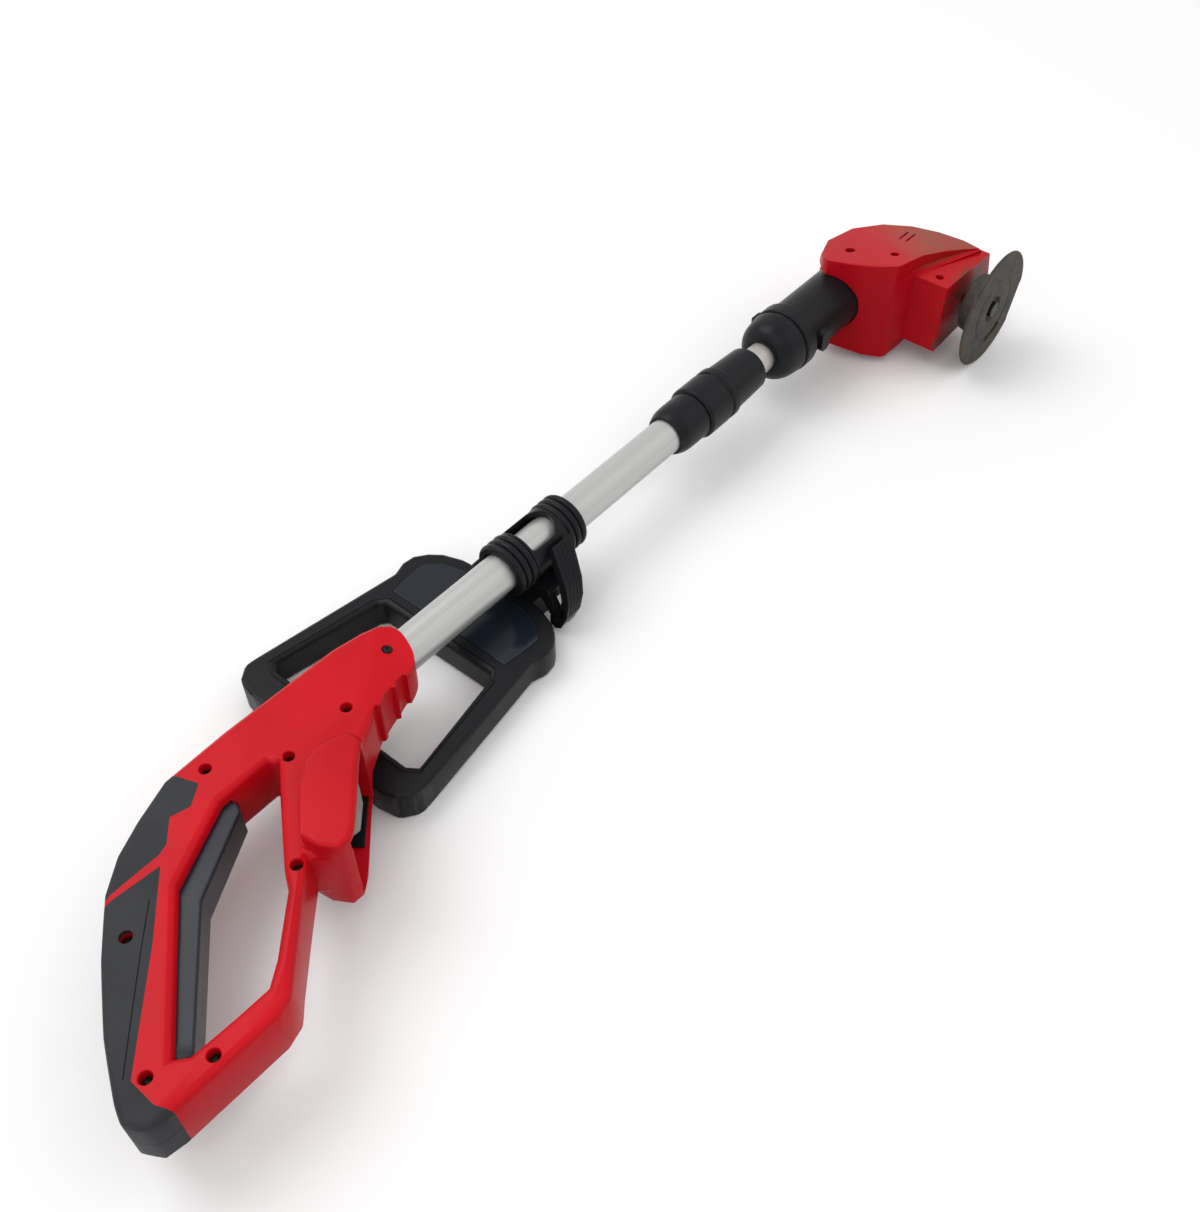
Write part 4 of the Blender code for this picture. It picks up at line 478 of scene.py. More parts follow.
def moulded_nylon(colour):
    """Injection moulded nylon with glass fibre: black, satin, with small pale flecks of fibre and dust."""
    made, tree, shader, place = new_finish("moulded_black_nylon", ior=PLASTIC, gloss=0.16)
    fleck = put(tree, "ShaderNodeTexNoise",
                {"Scale": per_metre(2.4), "Detail": 3.0, "Roughness": 0.7, "Vector": place})
    base = tint(tree, colour, linear("#3A3B40"), fleck["Fac"], 0.62, 0.9)
    cloud = put(tree, "ShaderNodeTexNoise", {"Scale": per_metre(33), "Vector": place})
    rough = put(tree, "ShaderNodeMapRange", {"To Min": 0.28, "To Max": 0.44, "Value": cloud["Fac"]})["Result"]
    bumps = grain(tree, place, 0.9, 0.03, 0.25)
    fill(tree, shader, {"Base Color": base, "Roughness": rough, "Normal": bumps})
    return made


def glossy_abs(name, colour, rough, gloss):
    """Polished ABS: near black with a blue cast, and a clear reflection of the light."""
    made, tree, shader, place = new_finish(name, rough=rough, ior=PLASTIC, gloss=gloss)
    cloud = put(tree, "ShaderNodeTexNoise", {"Scale": per_metre(45), "Detail": 3.0, "Vector": place})
    base = tint(tree, shade(colour, 0.85), shade(colour, 1.2), cloud["Fac"])
    fill(tree, shader, {"Base Color": base, "Normal": grain(tree, place, 1.6, 0.02, 0.12)})
    return made


def anodised_tube(name, colour):
    """Drawn, satin anodised aluminium: hair lines run along the tube, and the reflection is a soft band."""
    made, tree, shader, place = new_finish(name, metal=0.65)
    # The drawing lines are finer than a pixel, so they are drawn a millimetre apart
    long = put(tree, "ShaderNodeMapping", {"Scale": (4.0, 900.0, 900.0), "Vector": place})["Vector"]
    lines = put(tree, "ShaderNodeTexNoise", {"Scale": 1.0, "Detail": 2.0, "Vector": long})["Fac"]
    base = tint(tree, shade(colour, 0.93), shade(colour, 1.03), lines)
    spot = put(tree, "ShaderNodeTexNoise", {"Scale": per_metre(7), "Detail": 2.0, "Vector": place})
    dot = put(tree, "ShaderNodeMapRange",
              {"From Min": 0.74, "From Max": 0.78, "To Max": 0.5, "Value": spot["Fac"]})
    base = put(tree, "ShaderNodeMix", {"A": base, "B": (*linear("#77746C"), 1.0), "Factor": dot["Result"]},
               data_type="RGBA")["Result"]
    rough = put(tree, "ShaderNodeMapRange", {"To Min": 0.36, "To Max": 0.46, "Value": lines})["Result"]
    bump = put(tree, "ShaderNodeBump", {"Strength": 0.12, "Distance": 0.00002, "Height": lines})["Normal"]
    fill(tree, shader, {"Base Color": base, "Roughness": rough, "Normal": bump})
    return made


def worn_disc_nylon(colour, dust):
    """Moulded nylon scoured by use: dark grey in streaky patches, with brown soil lying on it."""
    made, tree, shader, place = new_finish("worn_disc_nylon", rough=0.68, ior=PLASTIC, gloss=0.25)
    streak = put(tree, "ShaderNodeTexNoise",
                 {"Scale": per_metre(9), "Detail": 6.0, "Roughness": 0.7, "Vector": place})
    base = tint(tree, shade(colour, 0.55), shade(colour, 1.35), streak["Fac"], 0.32, 0.72)
    soil = put(tree, "ShaderNodeTexNoise", {"Scale": per_metre(22), "Detail": 4.0, "Vector": place})
    patchy_mask = put(tree, "ShaderNodeMapRange",
               {"From Min": 0.52, "From Max": 0.70, "To Max": 0.55, "Value": soil["Fac"]})
    base = put(tree, "ShaderNodeMix", {"A": base, "B": (*shade(dust, 0.8), 1.0), "Factor": patchy_mask["Result"]},
               data_type="RGBA")["Result"]
    fill(tree, shader, {"Base Color": base, "Normal": grain(tree, place, 1.5, 0.15, 0.5)})
    return made


def patchy(name, low, high, size_mm, detail=3.0, **inputs):
    """Small and inner parts: two close tones in patches, and the gloss of the real one."""
    made, tree, shader, place = new_finish(name, **inputs)
    cloud = put(tree, "ShaderNodeTexNoise", {"Scale": per_metre(size_mm), "Detail": detail, "Vector": place})
    fill(tree, shader, {"Base Color": tint(tree, linear(low), linear(high), cloud["Fac"])})
    return made


FINISHES = {}


def finishes(colours):
    """Make each material once, for all the pieces."""
    if not FINISHES:
        keys = ("red", "grip", "nylon", "trigger", "disc", "tube", "dust")
        red, grip, nylon, blue, grey, tube, dust = (tuple(getattr(colours, key)) for key in keys)
        FINISHES.update({
            "red": moulded_red_abs(red),
            # The head's red: dry soil on it, and painted shade on the skirt's lower end
            "soiled": soiled_red_abs(red, dust),
            "grip": soft_elastomer(grip),
            "nylon": moulded_nylon(nylon),
            # Moulded with a satin skin, so the light lies on it as a wide soft patch
            "trigger": glossy_abs("satin_dark_blue_abs", blue, 0.30, 0.30),
            # Moulded in a polished tool, so it shows the light's edge
            "panel": glossy_abs("polished_dark_blue_abs", blue, 0.10, 0.32),
            "disc": worn_disc_nylon(grey, dust),
            "tube": anodised_tube("anodised_tube", tube),
            # Drawn aluminium, a little warmer than the outer tube
            "inner": anodised_tube("drawn_inner_tube", linear("#CFC8C2")),
            # Zinc plated steel: grey and satin, with cloudy patches of tarnish
            "steel": patchy("zinc_plated_steel", "#6F6E69", "#A6A5A0", 3.3, metal=1.0, rough=0.38),
            # Black oxide steel screws, which look almost black down in their recesses
            "screw": patchy("black_oxide_steel", "#1A1919", "#3A3836", 2, 2.0, metal=0.8, rough=0.45),
            # Cured rubber, dull and even
            "rubber": patchy("cured_black_rubber", "#101010", "#1C1C1C", 17, rough=0.8, gloss=0.35),
            # Moulded grey nylon of the contact block
            "grey": patchy("moulded_grey_nylon", "#8D8A85", "#A5A29C", 17, rough=0.5, gloss=0.35),
            # Stamped brass contacts, bright with a warm tarnish
            "brass": patchy("stamped_brass", "#B58A3A", "#D0A95A", 2.5, rough=0.3, metal=1.0, gloss=0.5),
        })
    return FINISHES


# Modelling helpers

def nothing_selected():
    if bpy.context.object and bpy.context.object.mode != "OBJECT":
        bpy.ops.object.mode_set(mode="OBJECT")
    bpy.ops.object.select_all(action="DESELECT")


def only(piece):
    nothing_selected()
    piece.select_set(True)
    bpy.context.view_layer.objects.active = piece


def ring_of(name, points):
    """A circle primitive with a corner for each point, and each corner moved to its point."""
    nothing_selected()
    bpy.ops.mesh.primitive_circle_add(vertices=len(points), radius=0.01, fill_type="NOTHING")
    piece = bpy.context.object
    piece.name = name
    for corner, point in zip(piece.data.vertices, points):
        corner.co = point
    return piece


def drawn(name, ring, path):
    """A closed ring of points filled, and extruded through each step of a path."""
    piece = ring_of(name, ring)
    bpy.ops.object.mode_set(mode="EDIT")
    bpy.ops.mesh.select_all(action="SELECT")
    bpy.ops.mesh.edge_face_add()
    for step in path:
        bpy.ops.mesh.extrude_region_move(TRANSFORM_OT_translate={"value": step})
    bpy.ops.mesh.select_all(action="SELECT")
    bpy.ops.mesh.normals_make_consistent(inside=False)
    bpy.ops.object.mode_set(mode="OBJECT")
    return piece


def prism(name, outline, low, high, axis="z"):
    """An outline filled and extruded from low to high along an axis."""
    def place(first, second, third):
        return {"z": (first, second, third), "y": (first, third, second), "x": (third, first, second)}[axis]

    return drawn(name, [place(a, b, low) for a, b in outline], [place(0.0, 0.0, high - low)])


def spun(name, profile, centre=(0.0, 0.0, 0.0), axis="x", steps=96):
    """A closed profile of (radius, place along the axis), spun right round."""
    turn = {"x": lambda r, a: (a, r, 0.0), "y": lambda r, a: (r, a, 0.0), "z": lambda r, a: (r, 0.0, a)}[axis]
    way = {"x": (1, 0, 0), "y": (0, 1, 0), "z": (0, 0, 1)}[axis]
    middle = Vector(centre)
    piece = ring_of(name, [Vector(turn(r, a)) + middle for r, a in profile])
    bpy.ops.object.mode_set(mode="EDIT")
    bpy.ops.mesh.select_all(action="SELECT")
    bpy.ops.mesh.spin(steps=steps, angle=2 * math.pi, center=middle, axis=way, use_auto_merge=True)
    bpy.ops.mesh.select_all(action="SELECT")
    bpy.ops.mesh.remove_doubles(threshold=MERGE)
    bpy.ops.mesh.dissolve_degenerate(threshold=MERGE / 2)
    bpy.ops.mesh.select_all(action="SELECT")
    bpy.ops.mesh.normals_make_consistent(inside=False)
    bpy.ops.object.mode_set(mode="OBJECT")
    return piece


def rod(name, centre, radius, low, high, axis="z", sides=32):
    """A cylinder primitive along an axis through centre, from low to high."""
    nothing_selected()
    place = Vector(centre)
    place["xyz".index(axis)] = (low + high) / 2
    turn = {"x": (0, math.pi / 2, 0), "y": (math.pi / 2, 0, 0), "z": (0, 0, 0)}[axis]
    bpy.ops.mesh.primitive_cylinder_add(vertices=sides, radius=radius, depth=high - low, location=place,
                                        rotation=turn)
    piece = bpy.context.object
    piece.name = name
    bpy.ops.object.transform_apply(location=True, rotation=True, scale=True)
    return piece


def brick(name, low, high):
    nothing_selected()
    middle = (Vector(low) + Vector(high)) / 2
    bpy.ops.mesh.primitive_cube_add(size=1.0, location=middle, scale=Vector(high) - Vector(low))
    piece = bpy.context.object
    piece.name = name
    bpy.ops.object.transform_apply(location=True, rotation=True, scale=True)
    return piece


def apply_all(piece):
    only(piece)
    for modifier in list(piece.modifiers):
        bpy.ops.object.modifier_apply(modifier=modifier.name)


def discard(piece):
    mesh = piece.data
    bpy.data.objects.remove(piece)
    bpy.data.meshes.remove(mesh)


def combine(piece, tool, operation):
    """A Boolean of a piece with a tool, which is used up."""
    modifier = piece.modifiers.new("shape", "BOOLEAN")
    modifier.operation = operation
    modifier.object = tool
    modifier.solver = "EXACT"
    apply_all(piece)
    discard(tool)
    return piece


def carve(piece, *tools):
    for tool in tools:
        combine(piece, tool, "DIFFERENCE")
    return piece


def weld(piece, *tools):
    for tool in tools:
        combine(piece, tool, "UNION")
    return piece


def common(piece, tool):
    return combine(piece, tool, "INTERSECT")


def soften(piece, width, segments=2, angle=35):
    """Round every edge sharper than an angle."""
    modifier = piece.modifiers.new("edges", "BEVEL")
    modifier.width = width
    modifier.segments = segments
    modifier.limit_method = "ANGLE"
    modifier.angle_limit = math.radians(angle)
    modifier.use_clamp_overlap = True
    apply_all(piece)
    return piece


def eased(points, reach=0.002, sharp=35.0, rounds=2, part=0.22):
    """A closed line with its corners cut each round, by a part of each side.

    At a corner that turns by more than sharp degrees, the cut is no longer than reach.
    """
    for _ in range(rounds):
        cut = []
        for i, point in enumerate(points):
            here = Vector(point)
            before, after = Vector(points[i - 1]) - here, Vector(points[(i + 1) % len(points)]) - here
            turn = 180 - math.degrees(before.angle(after))
            for side in (before, after):
                share = part * side.length
                cut.append(tuple(here + side.normalized() * (min(share, reach) if turn > sharp else share)))
        points = cut
    return points


def arc(centre, radius, start, end, count):
    points = []
    for i in range(count + 1):
        angle = math.radians(start + (end - start) * i / count)
        points.append((centre[0] + radius * math.cos(angle), centre[1] + radius * math.sin(angle)))
    return points


def band(line, width):
    """The outline of an open line drawn with a width."""
    left, right = [], []
    for i, point in enumerate(line):
        way = (Vector(line[min(i + 1, len(line) - 1)]) - Vector(line[max(i - 1, 0)])).normalized()
        side = Vector((-way.y, way.x)) * width / 2
        left.append(tuple(Vector(point) + side))
        right.append(tuple(Vector(point) - side))
    return left + right[::-1]


def bay(along, out):
    down = Vector((-math.cos(BAY_ANGLE), -math.sin(BAY_ANGLE)))
    away = Vector((math.sin(BAY_ANGLE), -math.cos(BAY_ANGLE)))
    return tuple(Vector(BAY_CORNER) + down * along + away * out)


def node_copy(node):
    """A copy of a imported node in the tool's own frame, with its loose triangles merged."""
    nothing_selected()
    source = NODES[node]
    hidden = source.hide_viewport
    source.hide_viewport = False
    source.select_set(True)
    bpy.context.view_layer.objects.active = source
    bpy.ops.object.duplicate(linked=False)
    piece = bpy.context.object
    source.hide_viewport = hidden
    piece.name = node + "_finished"
    piece.parent = None
    for key in list(piece.keys()):
        del piece[key]
    piece.data.materials.clear()
    only(piece)
    bpy.ops.object.mode_set(mode="EDIT")
    bpy.ops.mesh.select_all(action="SELECT")
    bpy.ops.mesh.remove_doubles(threshold=MERGE)
    bpy.ops.mesh.dissolve_limited(angle_limit=math.radians(0.5))
    bpy.ops.object.mode_set(mode="OBJECT")
    piece.location = -TOOL_ZERO
    bpy.ops.object.transform_apply(location=True, rotation=True, scale=True)
    return piece


def close_seam(piece):
    """Bring a shell's parting face up to the other half's, so that no light shows between them."""
    for corner in piece.data.vertices:
        if abs(corner.co.z) < SEAM_BAND:
            corner.co.z *= SEAM_LEFT
    return piece


def twin(piece, name, shift):
    """A copy of a piece with its own mesh, moved by shift."""
    only(piece)
    bpy.ops.object.duplicate(linked=False)
    made = bpy.context.object
    made.name = name
    made.location = shift
    bpy.ops.object.transform_apply(location=True, rotation=True, scale=True)
    return made


def settle(piece, finish, body, node, angle=32):
    """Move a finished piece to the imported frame, shade it, and let it ride a body in the place of its node.

    Edges sharper than angle stay sharp, and the flat faces beside the others keep their flat look.
    """
    only(piece)
    piece.location = TOOL_ZERO
    bpy.ops.object.transform_apply(location=True, rotation=True, scale=True)
    bpy.ops.mesh.customdata_custom_splitnormals_clear()
    bpy.ops.object.shade_smooth_by_angle(angle=math.radians(angle))
    even = piece.modifiers.new("even", "WEIGHTED_NORMAL")
    even.mode = "FACE_AREA"
    even.keep_sharp = True
    apply_all(piece)
    piece.data.materials.clear()
    piece.data.materials.append(finishes(bpy.context.scene.trimmer_colours)[finish])
    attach(piece, body)
    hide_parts(node)
    return piece


def dress(node, finish, body, width=0.0, segments=2, angle=35):
    """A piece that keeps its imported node's form, with its edges rounded by a width."""
    piece = node_copy(node)
    if width:
        soften(piece, width, segments, angle)
    return settle(piece, finish, body, node)


# Pieces

def from_seam(side, low, high):
    """Two distances from the seam, on the right side or mirrored on the left one, in rising order."""
    return sorted((side * low, side * high))


def handle_form(side):
    """One half of the handle's outer form, with its cheek and with all its corners eased."""
    form = prism("handle_form", eased(BACK + FRONT), *from_seam(side, 0.0, SHELL_HALF + PAST))
    carve(form, prism("window", eased(WINDOW), -THROUGH, THROUGH))
    cheek = eased([bay(*point) for point in CHEEK], CHEEK_EASE)
    return weld(form, prism("cheek", cheek, *from_seam(side, CHEEK_ROOT, CHEEK_FACE + PAST)))


def countersinks(piece, spots, top, rim):
    """A small chamfer round each screw recess."""
    end = top - rim - CONE_SINK
    profile = [
        (0.0, top + PAST), (RECESS_RADIUS + rim + PAST, top + PAST), (RECESS_RADIUS - CONE_SINK, end),
        (0.0, end),
    ]
    mould = spun("countersink", profile, axis="z", steps=32)
    for x, y in spots:
        carve(piece, twin(mould, "countersink_cut", (x, y, 0.0)))
    discard(mould)
    return piece


class TRIMMER_OT_handle_shells(bpy.types.Operator):
    """Red handle shells, with eased corners, steps along the collar and chamfered screw recesses"""
    bl_idname = "trimmer.handle_shells"
    bl_label = "Handle shells"

    def execute(self, context):
        sizes = context.scene.trimmer_sizes
        for side, word in ((1, "right"), (-1, "left")):
            shell = close_seam(node_copy(f"handle_shell_{word}"))
            common(shell, handle_form(side))
            for x, y in COLLAR_STEPS:
                step = rod("collar_step", (x, y - STEP_SINK, 0.0), STEP_RADIUS, -THROUGH / 2, THROUGH / 2)
                carve(shell, step)
            if side > 0:
                spots = [spot for key, spot in HANDLE_SCREWS.items() if key != "grip"]
                countersinks(shell, spots, SHELL_HALF - SKIN, sizes.recess_rim)
            settle(shell, "red", "tool", f"handle_shell_{word}", angle=50)
        return {"FINISHED"}


class TRIMMER_OT_grip_inlays(bpy.types.Operator):
    """Soft inlays of the rear handle, the lower ones with a fine line along them"""
    bl_idname = "trimmer.grip_inlays"
    bl_label = "Grip inlays"

    def execute(self, context):
        sizes = context.scene.trimmer_sizes
        for side, word in ((1, "right"), (-1, "left")):
            for part in ("upper", "lower"):
                inlay = node_copy(f"grip_inlay_{part}_{word}")
                common(inlay, handle_form(side))
                if part == "lower":
                    depths = from_seam(side, SHELL_HALF - LINE_DEPTH, SHELL_HALF + PAST)
                    carve(inlay, prism("grip_line", band(GRIP_LINE, sizes.groove), *depths))
                settle(inlay, "grip", "tool", f"grip_inlay_{part}_{word}", angle=50)
        return {"FINISHED"}


class TRIMMER_OT_trigger(bpy.types.Operator):
    """Trigger and lock-off button"""
    bl_idname = "trimmer.trigger"
    bl_label = "Trigger and button"

    def execute(self, context):
        dress("trigger", "trigger", "trigger")
        dress("lock_off_button", "trigger", "lock_button", width=0.0006)
        return {"FINISHED"}


def pan_screw(top, tip):
    """A pan head screw about the upright line through zero, with a cross recess."""
    profile = [(0.0, top)] + [(radius, top - drop) for radius, drop in HEAD_CURVE]
    profile += [(SHANK_RADIUS, profile[-1][1]), (SHANK_RADIUS, tip + SHANK_POINT), (0.0, tip)]
    screw = spun("pan_screw", profile, axis="z", steps=24)
    for x, y in ((CROSS_LONG, CROSS_WIDE), (CROSS_WIDE, CROSS_LONG)):
        carve(screw, brick("cross", (-x, -y, top - CROSS_DEPTH), (x, y, top + PAST)))
    return screw


class TRIMMER_OT_screws(bpy.types.Operator):
    """Pan head screws with a cross recess"""
    bl_idname = "trimmer.screws"
    bl_label = "Screws"

    def execute(self, context):
        moulds = {}
        groups = (("handle_screw", HANDLE_SCREWS, "tool"), ("head_screw", HEAD_SCREWS, "motor_head"))
        for prefix, spots, body in groups:
            for key, (x, y) in spots.items():
                node = f"{prefix}_{key}"
                low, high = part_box(node)
                reach = (round(high.z - TOOL_ZERO.z, 5), round(low.z - TOOL_ZERO.z, 5))
                if reach not in moulds:
                    moulds[reach] = pan_screw(*reach)
                settle(twin(moulds[reach], node + "_finished", (x, y, 0.0)), "screw", body, node)
        for mould in moulds.values():
            discard(mould)
        return {"FINISHED"}


class TRIMMER_OT_contacts(bpy.types.Operator):
    """Rail and contact block in the battery bay, with the blades"""
    bl_idname = "trimmer.contacts"
    bl_label = "Battery contacts"

    def execute(self, context):
        dress("battery_rail", "nylon", "tool", width=0.0005)
        dress("terminal_block", "grey", "tool", width=0.0008)
        for key in ("positive", "negative"):
            dress(f"terminal_blade_{key}", "brass", "tool", width=0.0002, segments=1)
        return {"FINISHED"}


class TRIMMER_OT_tubes(bpy.types.Operator):
    """Outer and inner aluminium tubes"""
    bl_idname = "trimmer.tubes"
    bl_label = "Tubes"

    def execute(self, context):
        for node, finish, body in (("outer_tube", "tube", "tool"), ("inner_tube", "inner", "inner_tube")):
            low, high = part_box(node)
            start, end = low.x - TOOL_ZERO.x, high.x - TOOL_ZERO.x
            outer = (high.z - low.z) / 2
            inner = outer - TUBE_WALL
            profile = [
                (outer, start + TUBE_LIP), (outer, end - TUBE_LIP), (outer - TUBE_LIP, end), (inner, end),
                (inner, start), (outer - TUBE_LIP, start),
            ]
            tube = spun(node + "_finished", profile)
            if node == "outer_tube":
                x, y = HANDLE_SCREWS["collar"]
                carve(tube, rod("screw_way", (x, y, 0.0), SCREW_WAY, -THROUGH / 2, THROUGH / 2))
            settle(tube, finish, body, node)
        return {"FINISHED"}


class TRIMMER_OT_twist_clamp(bpy.types.Operator):
    """Twist clamp of the telescopic tube: fixed base and turning sleeve"""
    bl_idname = "trimmer.twist_clamp"
    bl_label = "Twist clamp"

    def execute(self, context):
        parts = (("clamp_base", BASE_SECTION, "tool"), ("twist_sleeve", SLEEVE_SECTION, "twist_sleeve"))
        for node, section, body in parts:
            piece = spun(node + "_finished", eased(section, reach=0.0005, sharp=20.0))
            settle(piece, "nylon", body, node, angle=50)
        return {"FINISHED"}


def rib_profile(end):
    """Round ribs back from an end of the saddle, from the far one to the near one."""
    points = []
    pitch = RIB_RING / RIBS
    for i in range(RIBS):
        middle = end - pitch * (i + 0.5)
        for place, radius in arc((middle, RIB_MIDDLE), RIB_ROUND, 10, 170, 8):
            points.append((radius, place))
    return points


class TRIMMER_OT_tube_clamp(bpy.types.Operator):
    """Tube clamp of the auxiliary handle: ribbed saddle with its window, hinge tongue and lever ear"""
    bl_idname = "trimmer.tube_clamp"
    bl_label = "Tube clamp"

    def execute(self, context):
        near, far = SADDLE_START + RIB_RING, SADDLE_END - RIB_RING
        profile = rib_profile(SADDLE_END) + [(SADDLE_RADIUS, far), (SADDLE_RADIUS, near)]
        profile += rib_profile(near) + [(SADDLE_BORE, SADDLE_START), (SADDLE_BORE, SADDLE_END)]
        saddle = spun("clamp_saddle_finished", profile)
        block = soften(brick("block", BLOCK_LOW, BLOCK_HIGH), width=0.0010, segments=3)
        x, y, z = HINGE[0], *LEVER_PIN
        tongue = [(x - TONGUE_RADIUS, TONGUE_TOP), *arc(HINGE, TONGUE_RADIUS, 180, 360, 20),
                  (x + TONGUE_RADIUS, TONGUE_TOP)]
        tongue = soften(prism("tongue", tongue, *TONGUE_SIDES, "y"), width=0.0007)
        ear = [(y + a, z + b) for a, b in EAR_ROOT] + arc(LEVER_PIN, EAR_RADIUS, 130, 330, 16)
        weld(saddle, block, tongue, prism("ear", ear, *EAR_SIDES, "x"))
        carve(saddle, prism("window", eased(SADDLE_WINDOW, reach=0.0015), 0.0, THROUGH))
        ends = SADDLE_START - CLEAR, SADDLE_END + CLEAR
        carve(saddle, rod("bore", (0.0, 0.0, 0.0), SADDLE_BORE, *ends, "x", sides=96))
        carve(saddle, rod("hinge_hole", (HINGE[0], 0.0, HINGE[1]), HINGE_HOLE, -THROUGH, THROUGH, "y"))
        carve(saddle, rod("lever_hole", (0.0, *LEVER_PIN), LEVER_HOLE, *LEVER_HOLE_ENDS, "x", sides=24))
        settle(saddle, "nylon", "tube_clamp", "clamp_saddle", angle=40)
        return {"FINISHED"}


def lever_place(share, height):
    """A place along the cam lever at a height, at a share of the way across it."""
    (foot, *foot_sides), (tip, *tip_sides) = LEVER_FOOT, LEVER_TIP
    rise = (height - foot) / (tip - foot)
    low, high = (a + (b - a) * rise for a, b in zip(foot_sides, tip_sides))
    return low + (high - low) * share


class TRIMMER_OT_cam_lever(bpy.types.Operator):
    """Cam lever of the tube clamp, with flutes along its outer face"""
    bl_idname = "trimmer.cam_lever"
    bl_label = "Cam lever"

    def execute(self, context):
        sizes = context.scene.trimmer_sizes
        lever = soften(node_copy("cam_lever"), width=0.0006, angle=40)
        for i in range(LEVER_FLUTES):
            share = (i + 1) / (LEVER_FLUTES + 1)
            path = [Vector((lever_place(share, z), y, z)) for y, z in LEVER_CURVE]
            ring = [path[0] + Vector((x, y, 0.0)) for x, y in arc((0.0, 0.0), sizes.flute, 0, 330, 11)]
            carve(lever, drawn("flute", ring, [there - here for here, there in zip(path, path[1:])]))
        settle(lever, "nylon", "cam_lever", "cam_lever")
        return {"FINISHED"}


def both_sides(half):
    """An outline drawn on one side of the auxiliary handle's middle, closed on the other side."""
    return [(x, HANDLE_MIDDLE + y) for x, y in half] + [(x, HANDLE_MIDDLE - y) for x, y in half[::-1]]


def frame_form():
    """The auxiliary handle's outer form with its corners eased, and with room for its lugs."""
    low, high = HANDLE_UNDER - PAST, HANDLE_TOP + PAST
    form = prism("frame_form", eased(both_sides(FRAME_OUTER), reach=0.008, rounds=3, part=0.30), low, high)
    carve(form, prism("opening", eased(both_sides(FRAME_INNER), reach=0.003), -THROUGH, THROUGH))
    lugs = brick("lugs", (LUGS_START, HANDLE_MIDDLE - LUGS_HALF, low + SKIN),
                 (LUGS_END, HANDLE_MIDDLE + LUGS_HALF, high - SKIN))
    return weld(form, lugs)


class TRIMMER_OT_aux_handle(bpy.types.Operator):
    """Folding auxiliary handle, with a fine groove round its opening, and its two cover panels"""
    bl_idname = "trimmer.aux_handle"
    bl_label = "Auxiliary handle"

    def execute(self, context):
        sizes = context.scene.trimmer_sizes
        handle = node_copy("aux_handle_frame")
        common(handle, frame_form())
        for side in (1, -1):
            line = band([(x, HANDLE_MIDDLE + side * y) for x, y in FRAME_LINE], sizes.groove)
            carve(handle, prism("frame_line", line, HANDLE_TOP - LINE_DEPTH, HANDLE_TOP + PAST))
        settle(handle, "nylon", "aux_handle", "aux_handle_frame", angle=50)
        for key in ("top", "under"):
            dress(f"aux_handle_panel_{key}", "panel", "aux_handle", width=0.0004)
        return {"FINISHED"}


class TRIMMER_OT_neck(bpy.types.Operator):
    """Cone with its flange and lug, the neck that turns in it, and the catch button"""
    bl_idname = "trimmer.neck"
    bl_label = "Neck"

    def execute(self, context):
        cone = spun("tube_end_cone_finished", eased(CONE_SECTION, reach=0.0007, sharp=30.0))
        weld(cone, soften(prism("lug", LUG, -LUG_HALF, LUG_HALF), width=0.0006))
        settle(cone, "nylon", "inner_tube", "tube_end_cone", angle=40)
        neck = spun("neck_barrel_finished", NECK_SECTION)
        x, wide, tall = CATCH
        hole = [(x - wide, -tall), (x + wide, -tall), (x + wide, tall), (x - wide, tall)]
        carve(neck, prism("catch_hole", eased(hole, reach=CATCH_CORNER, rounds=1), *CATCH_DEPTH, "y"))
        knuckle = arc((PIVOT_X, 0.0), NECK_RADIUS, -KNUCKLE_TURN, KNUCKLE_TURN, 40)
        start, far = knuckle[-1][0], PIVOT_X + KNUCKLE_ROOM
        knuckle += [(start, KNUCKLE_ROOM), (far, KNUCKLE_ROOM), (far, -KNUCKLE_ROOM), (start, -KNUCKLE_ROOM)]
        carve(neck, prism("knuckle", knuckle, -THROUGH, THROUGH))
        carve(neck, rod("pivot_hole", (PIVOT_X, 0.0, 0.0), PIVOT_HOLE, -THROUGH, THROUGH))
        soften(neck, width=0.0004, angle=45)
        settle(neck, "nylon", "neck", "neck_barrel", angle=40)
        dress("catch_button", "nylon", "catch_button", width=0.0006, angle=30)
        return {"FINISHED"}


class TRIMMER_OT_motor_head(bpy.types.Operator):
    """Red motor head shells, with rounded edges"""
    bl_idname = "trimmer.motor_head"
    bl_label = "Motor head"

    def execute(self, context):
        sizes = context.scene.trimmer_sizes
        for word in ("right", "left"):
            shell = close_seam(node_copy(f"head_shell_{word}"))
            soften(shell, sizes.head_edge, segments=3, angle=28)
            settle(shell, "soiled", "motor_head", f"head_shell_{word}", angle=42)
        return {"FINISHED"}


class TRIMMER_OT_disc(bpy.types.Operator):
    """Cutting disc with its hub, seat and curved slot, its nut and its shaft"""
    bl_idname = "trimmer.disc"
    bl_label = "Cutting disc"

    def execute(self, context):
        section = eased(DISC_SECTION, reach=0.0004, sharp=25.0)
        disc = spun("cutting_disc_finished", section, (MOTOR_X, 0.0, 0.0), axis="y", steps=128)
        flat = [(MOTOR_X + r * math.cos(math.radians(a)), r * math.sin(math.radians(a))) for r, a in FLAT]
        carve(disc, prism("flat", flat, DISC_FACE - CLEAR, DISC_FACE + CLEAR, "y"))
        (outer, inner), (start, end) = SLOT_RADII, SLOT_TURN
        slot = arc((MOTOR_X, 0.0), outer, start, end, 10) + arc((MOTOR_X, 0.0), inner, end, start, 10)
        carve(disc, prism("slot", slot, DISC_FACE - CLEAR, DISC_FACE + SLOT_DEPTH, "y"))
        settle(disc, "disc", "cutter", "cutting_disc", angle=40)
        dress("disc_nut", "screw", "cutter", width=0.0004)
        dress("motor_shaft", "steel", "cutter", width=0.0003)
        return {"FINISHED"}


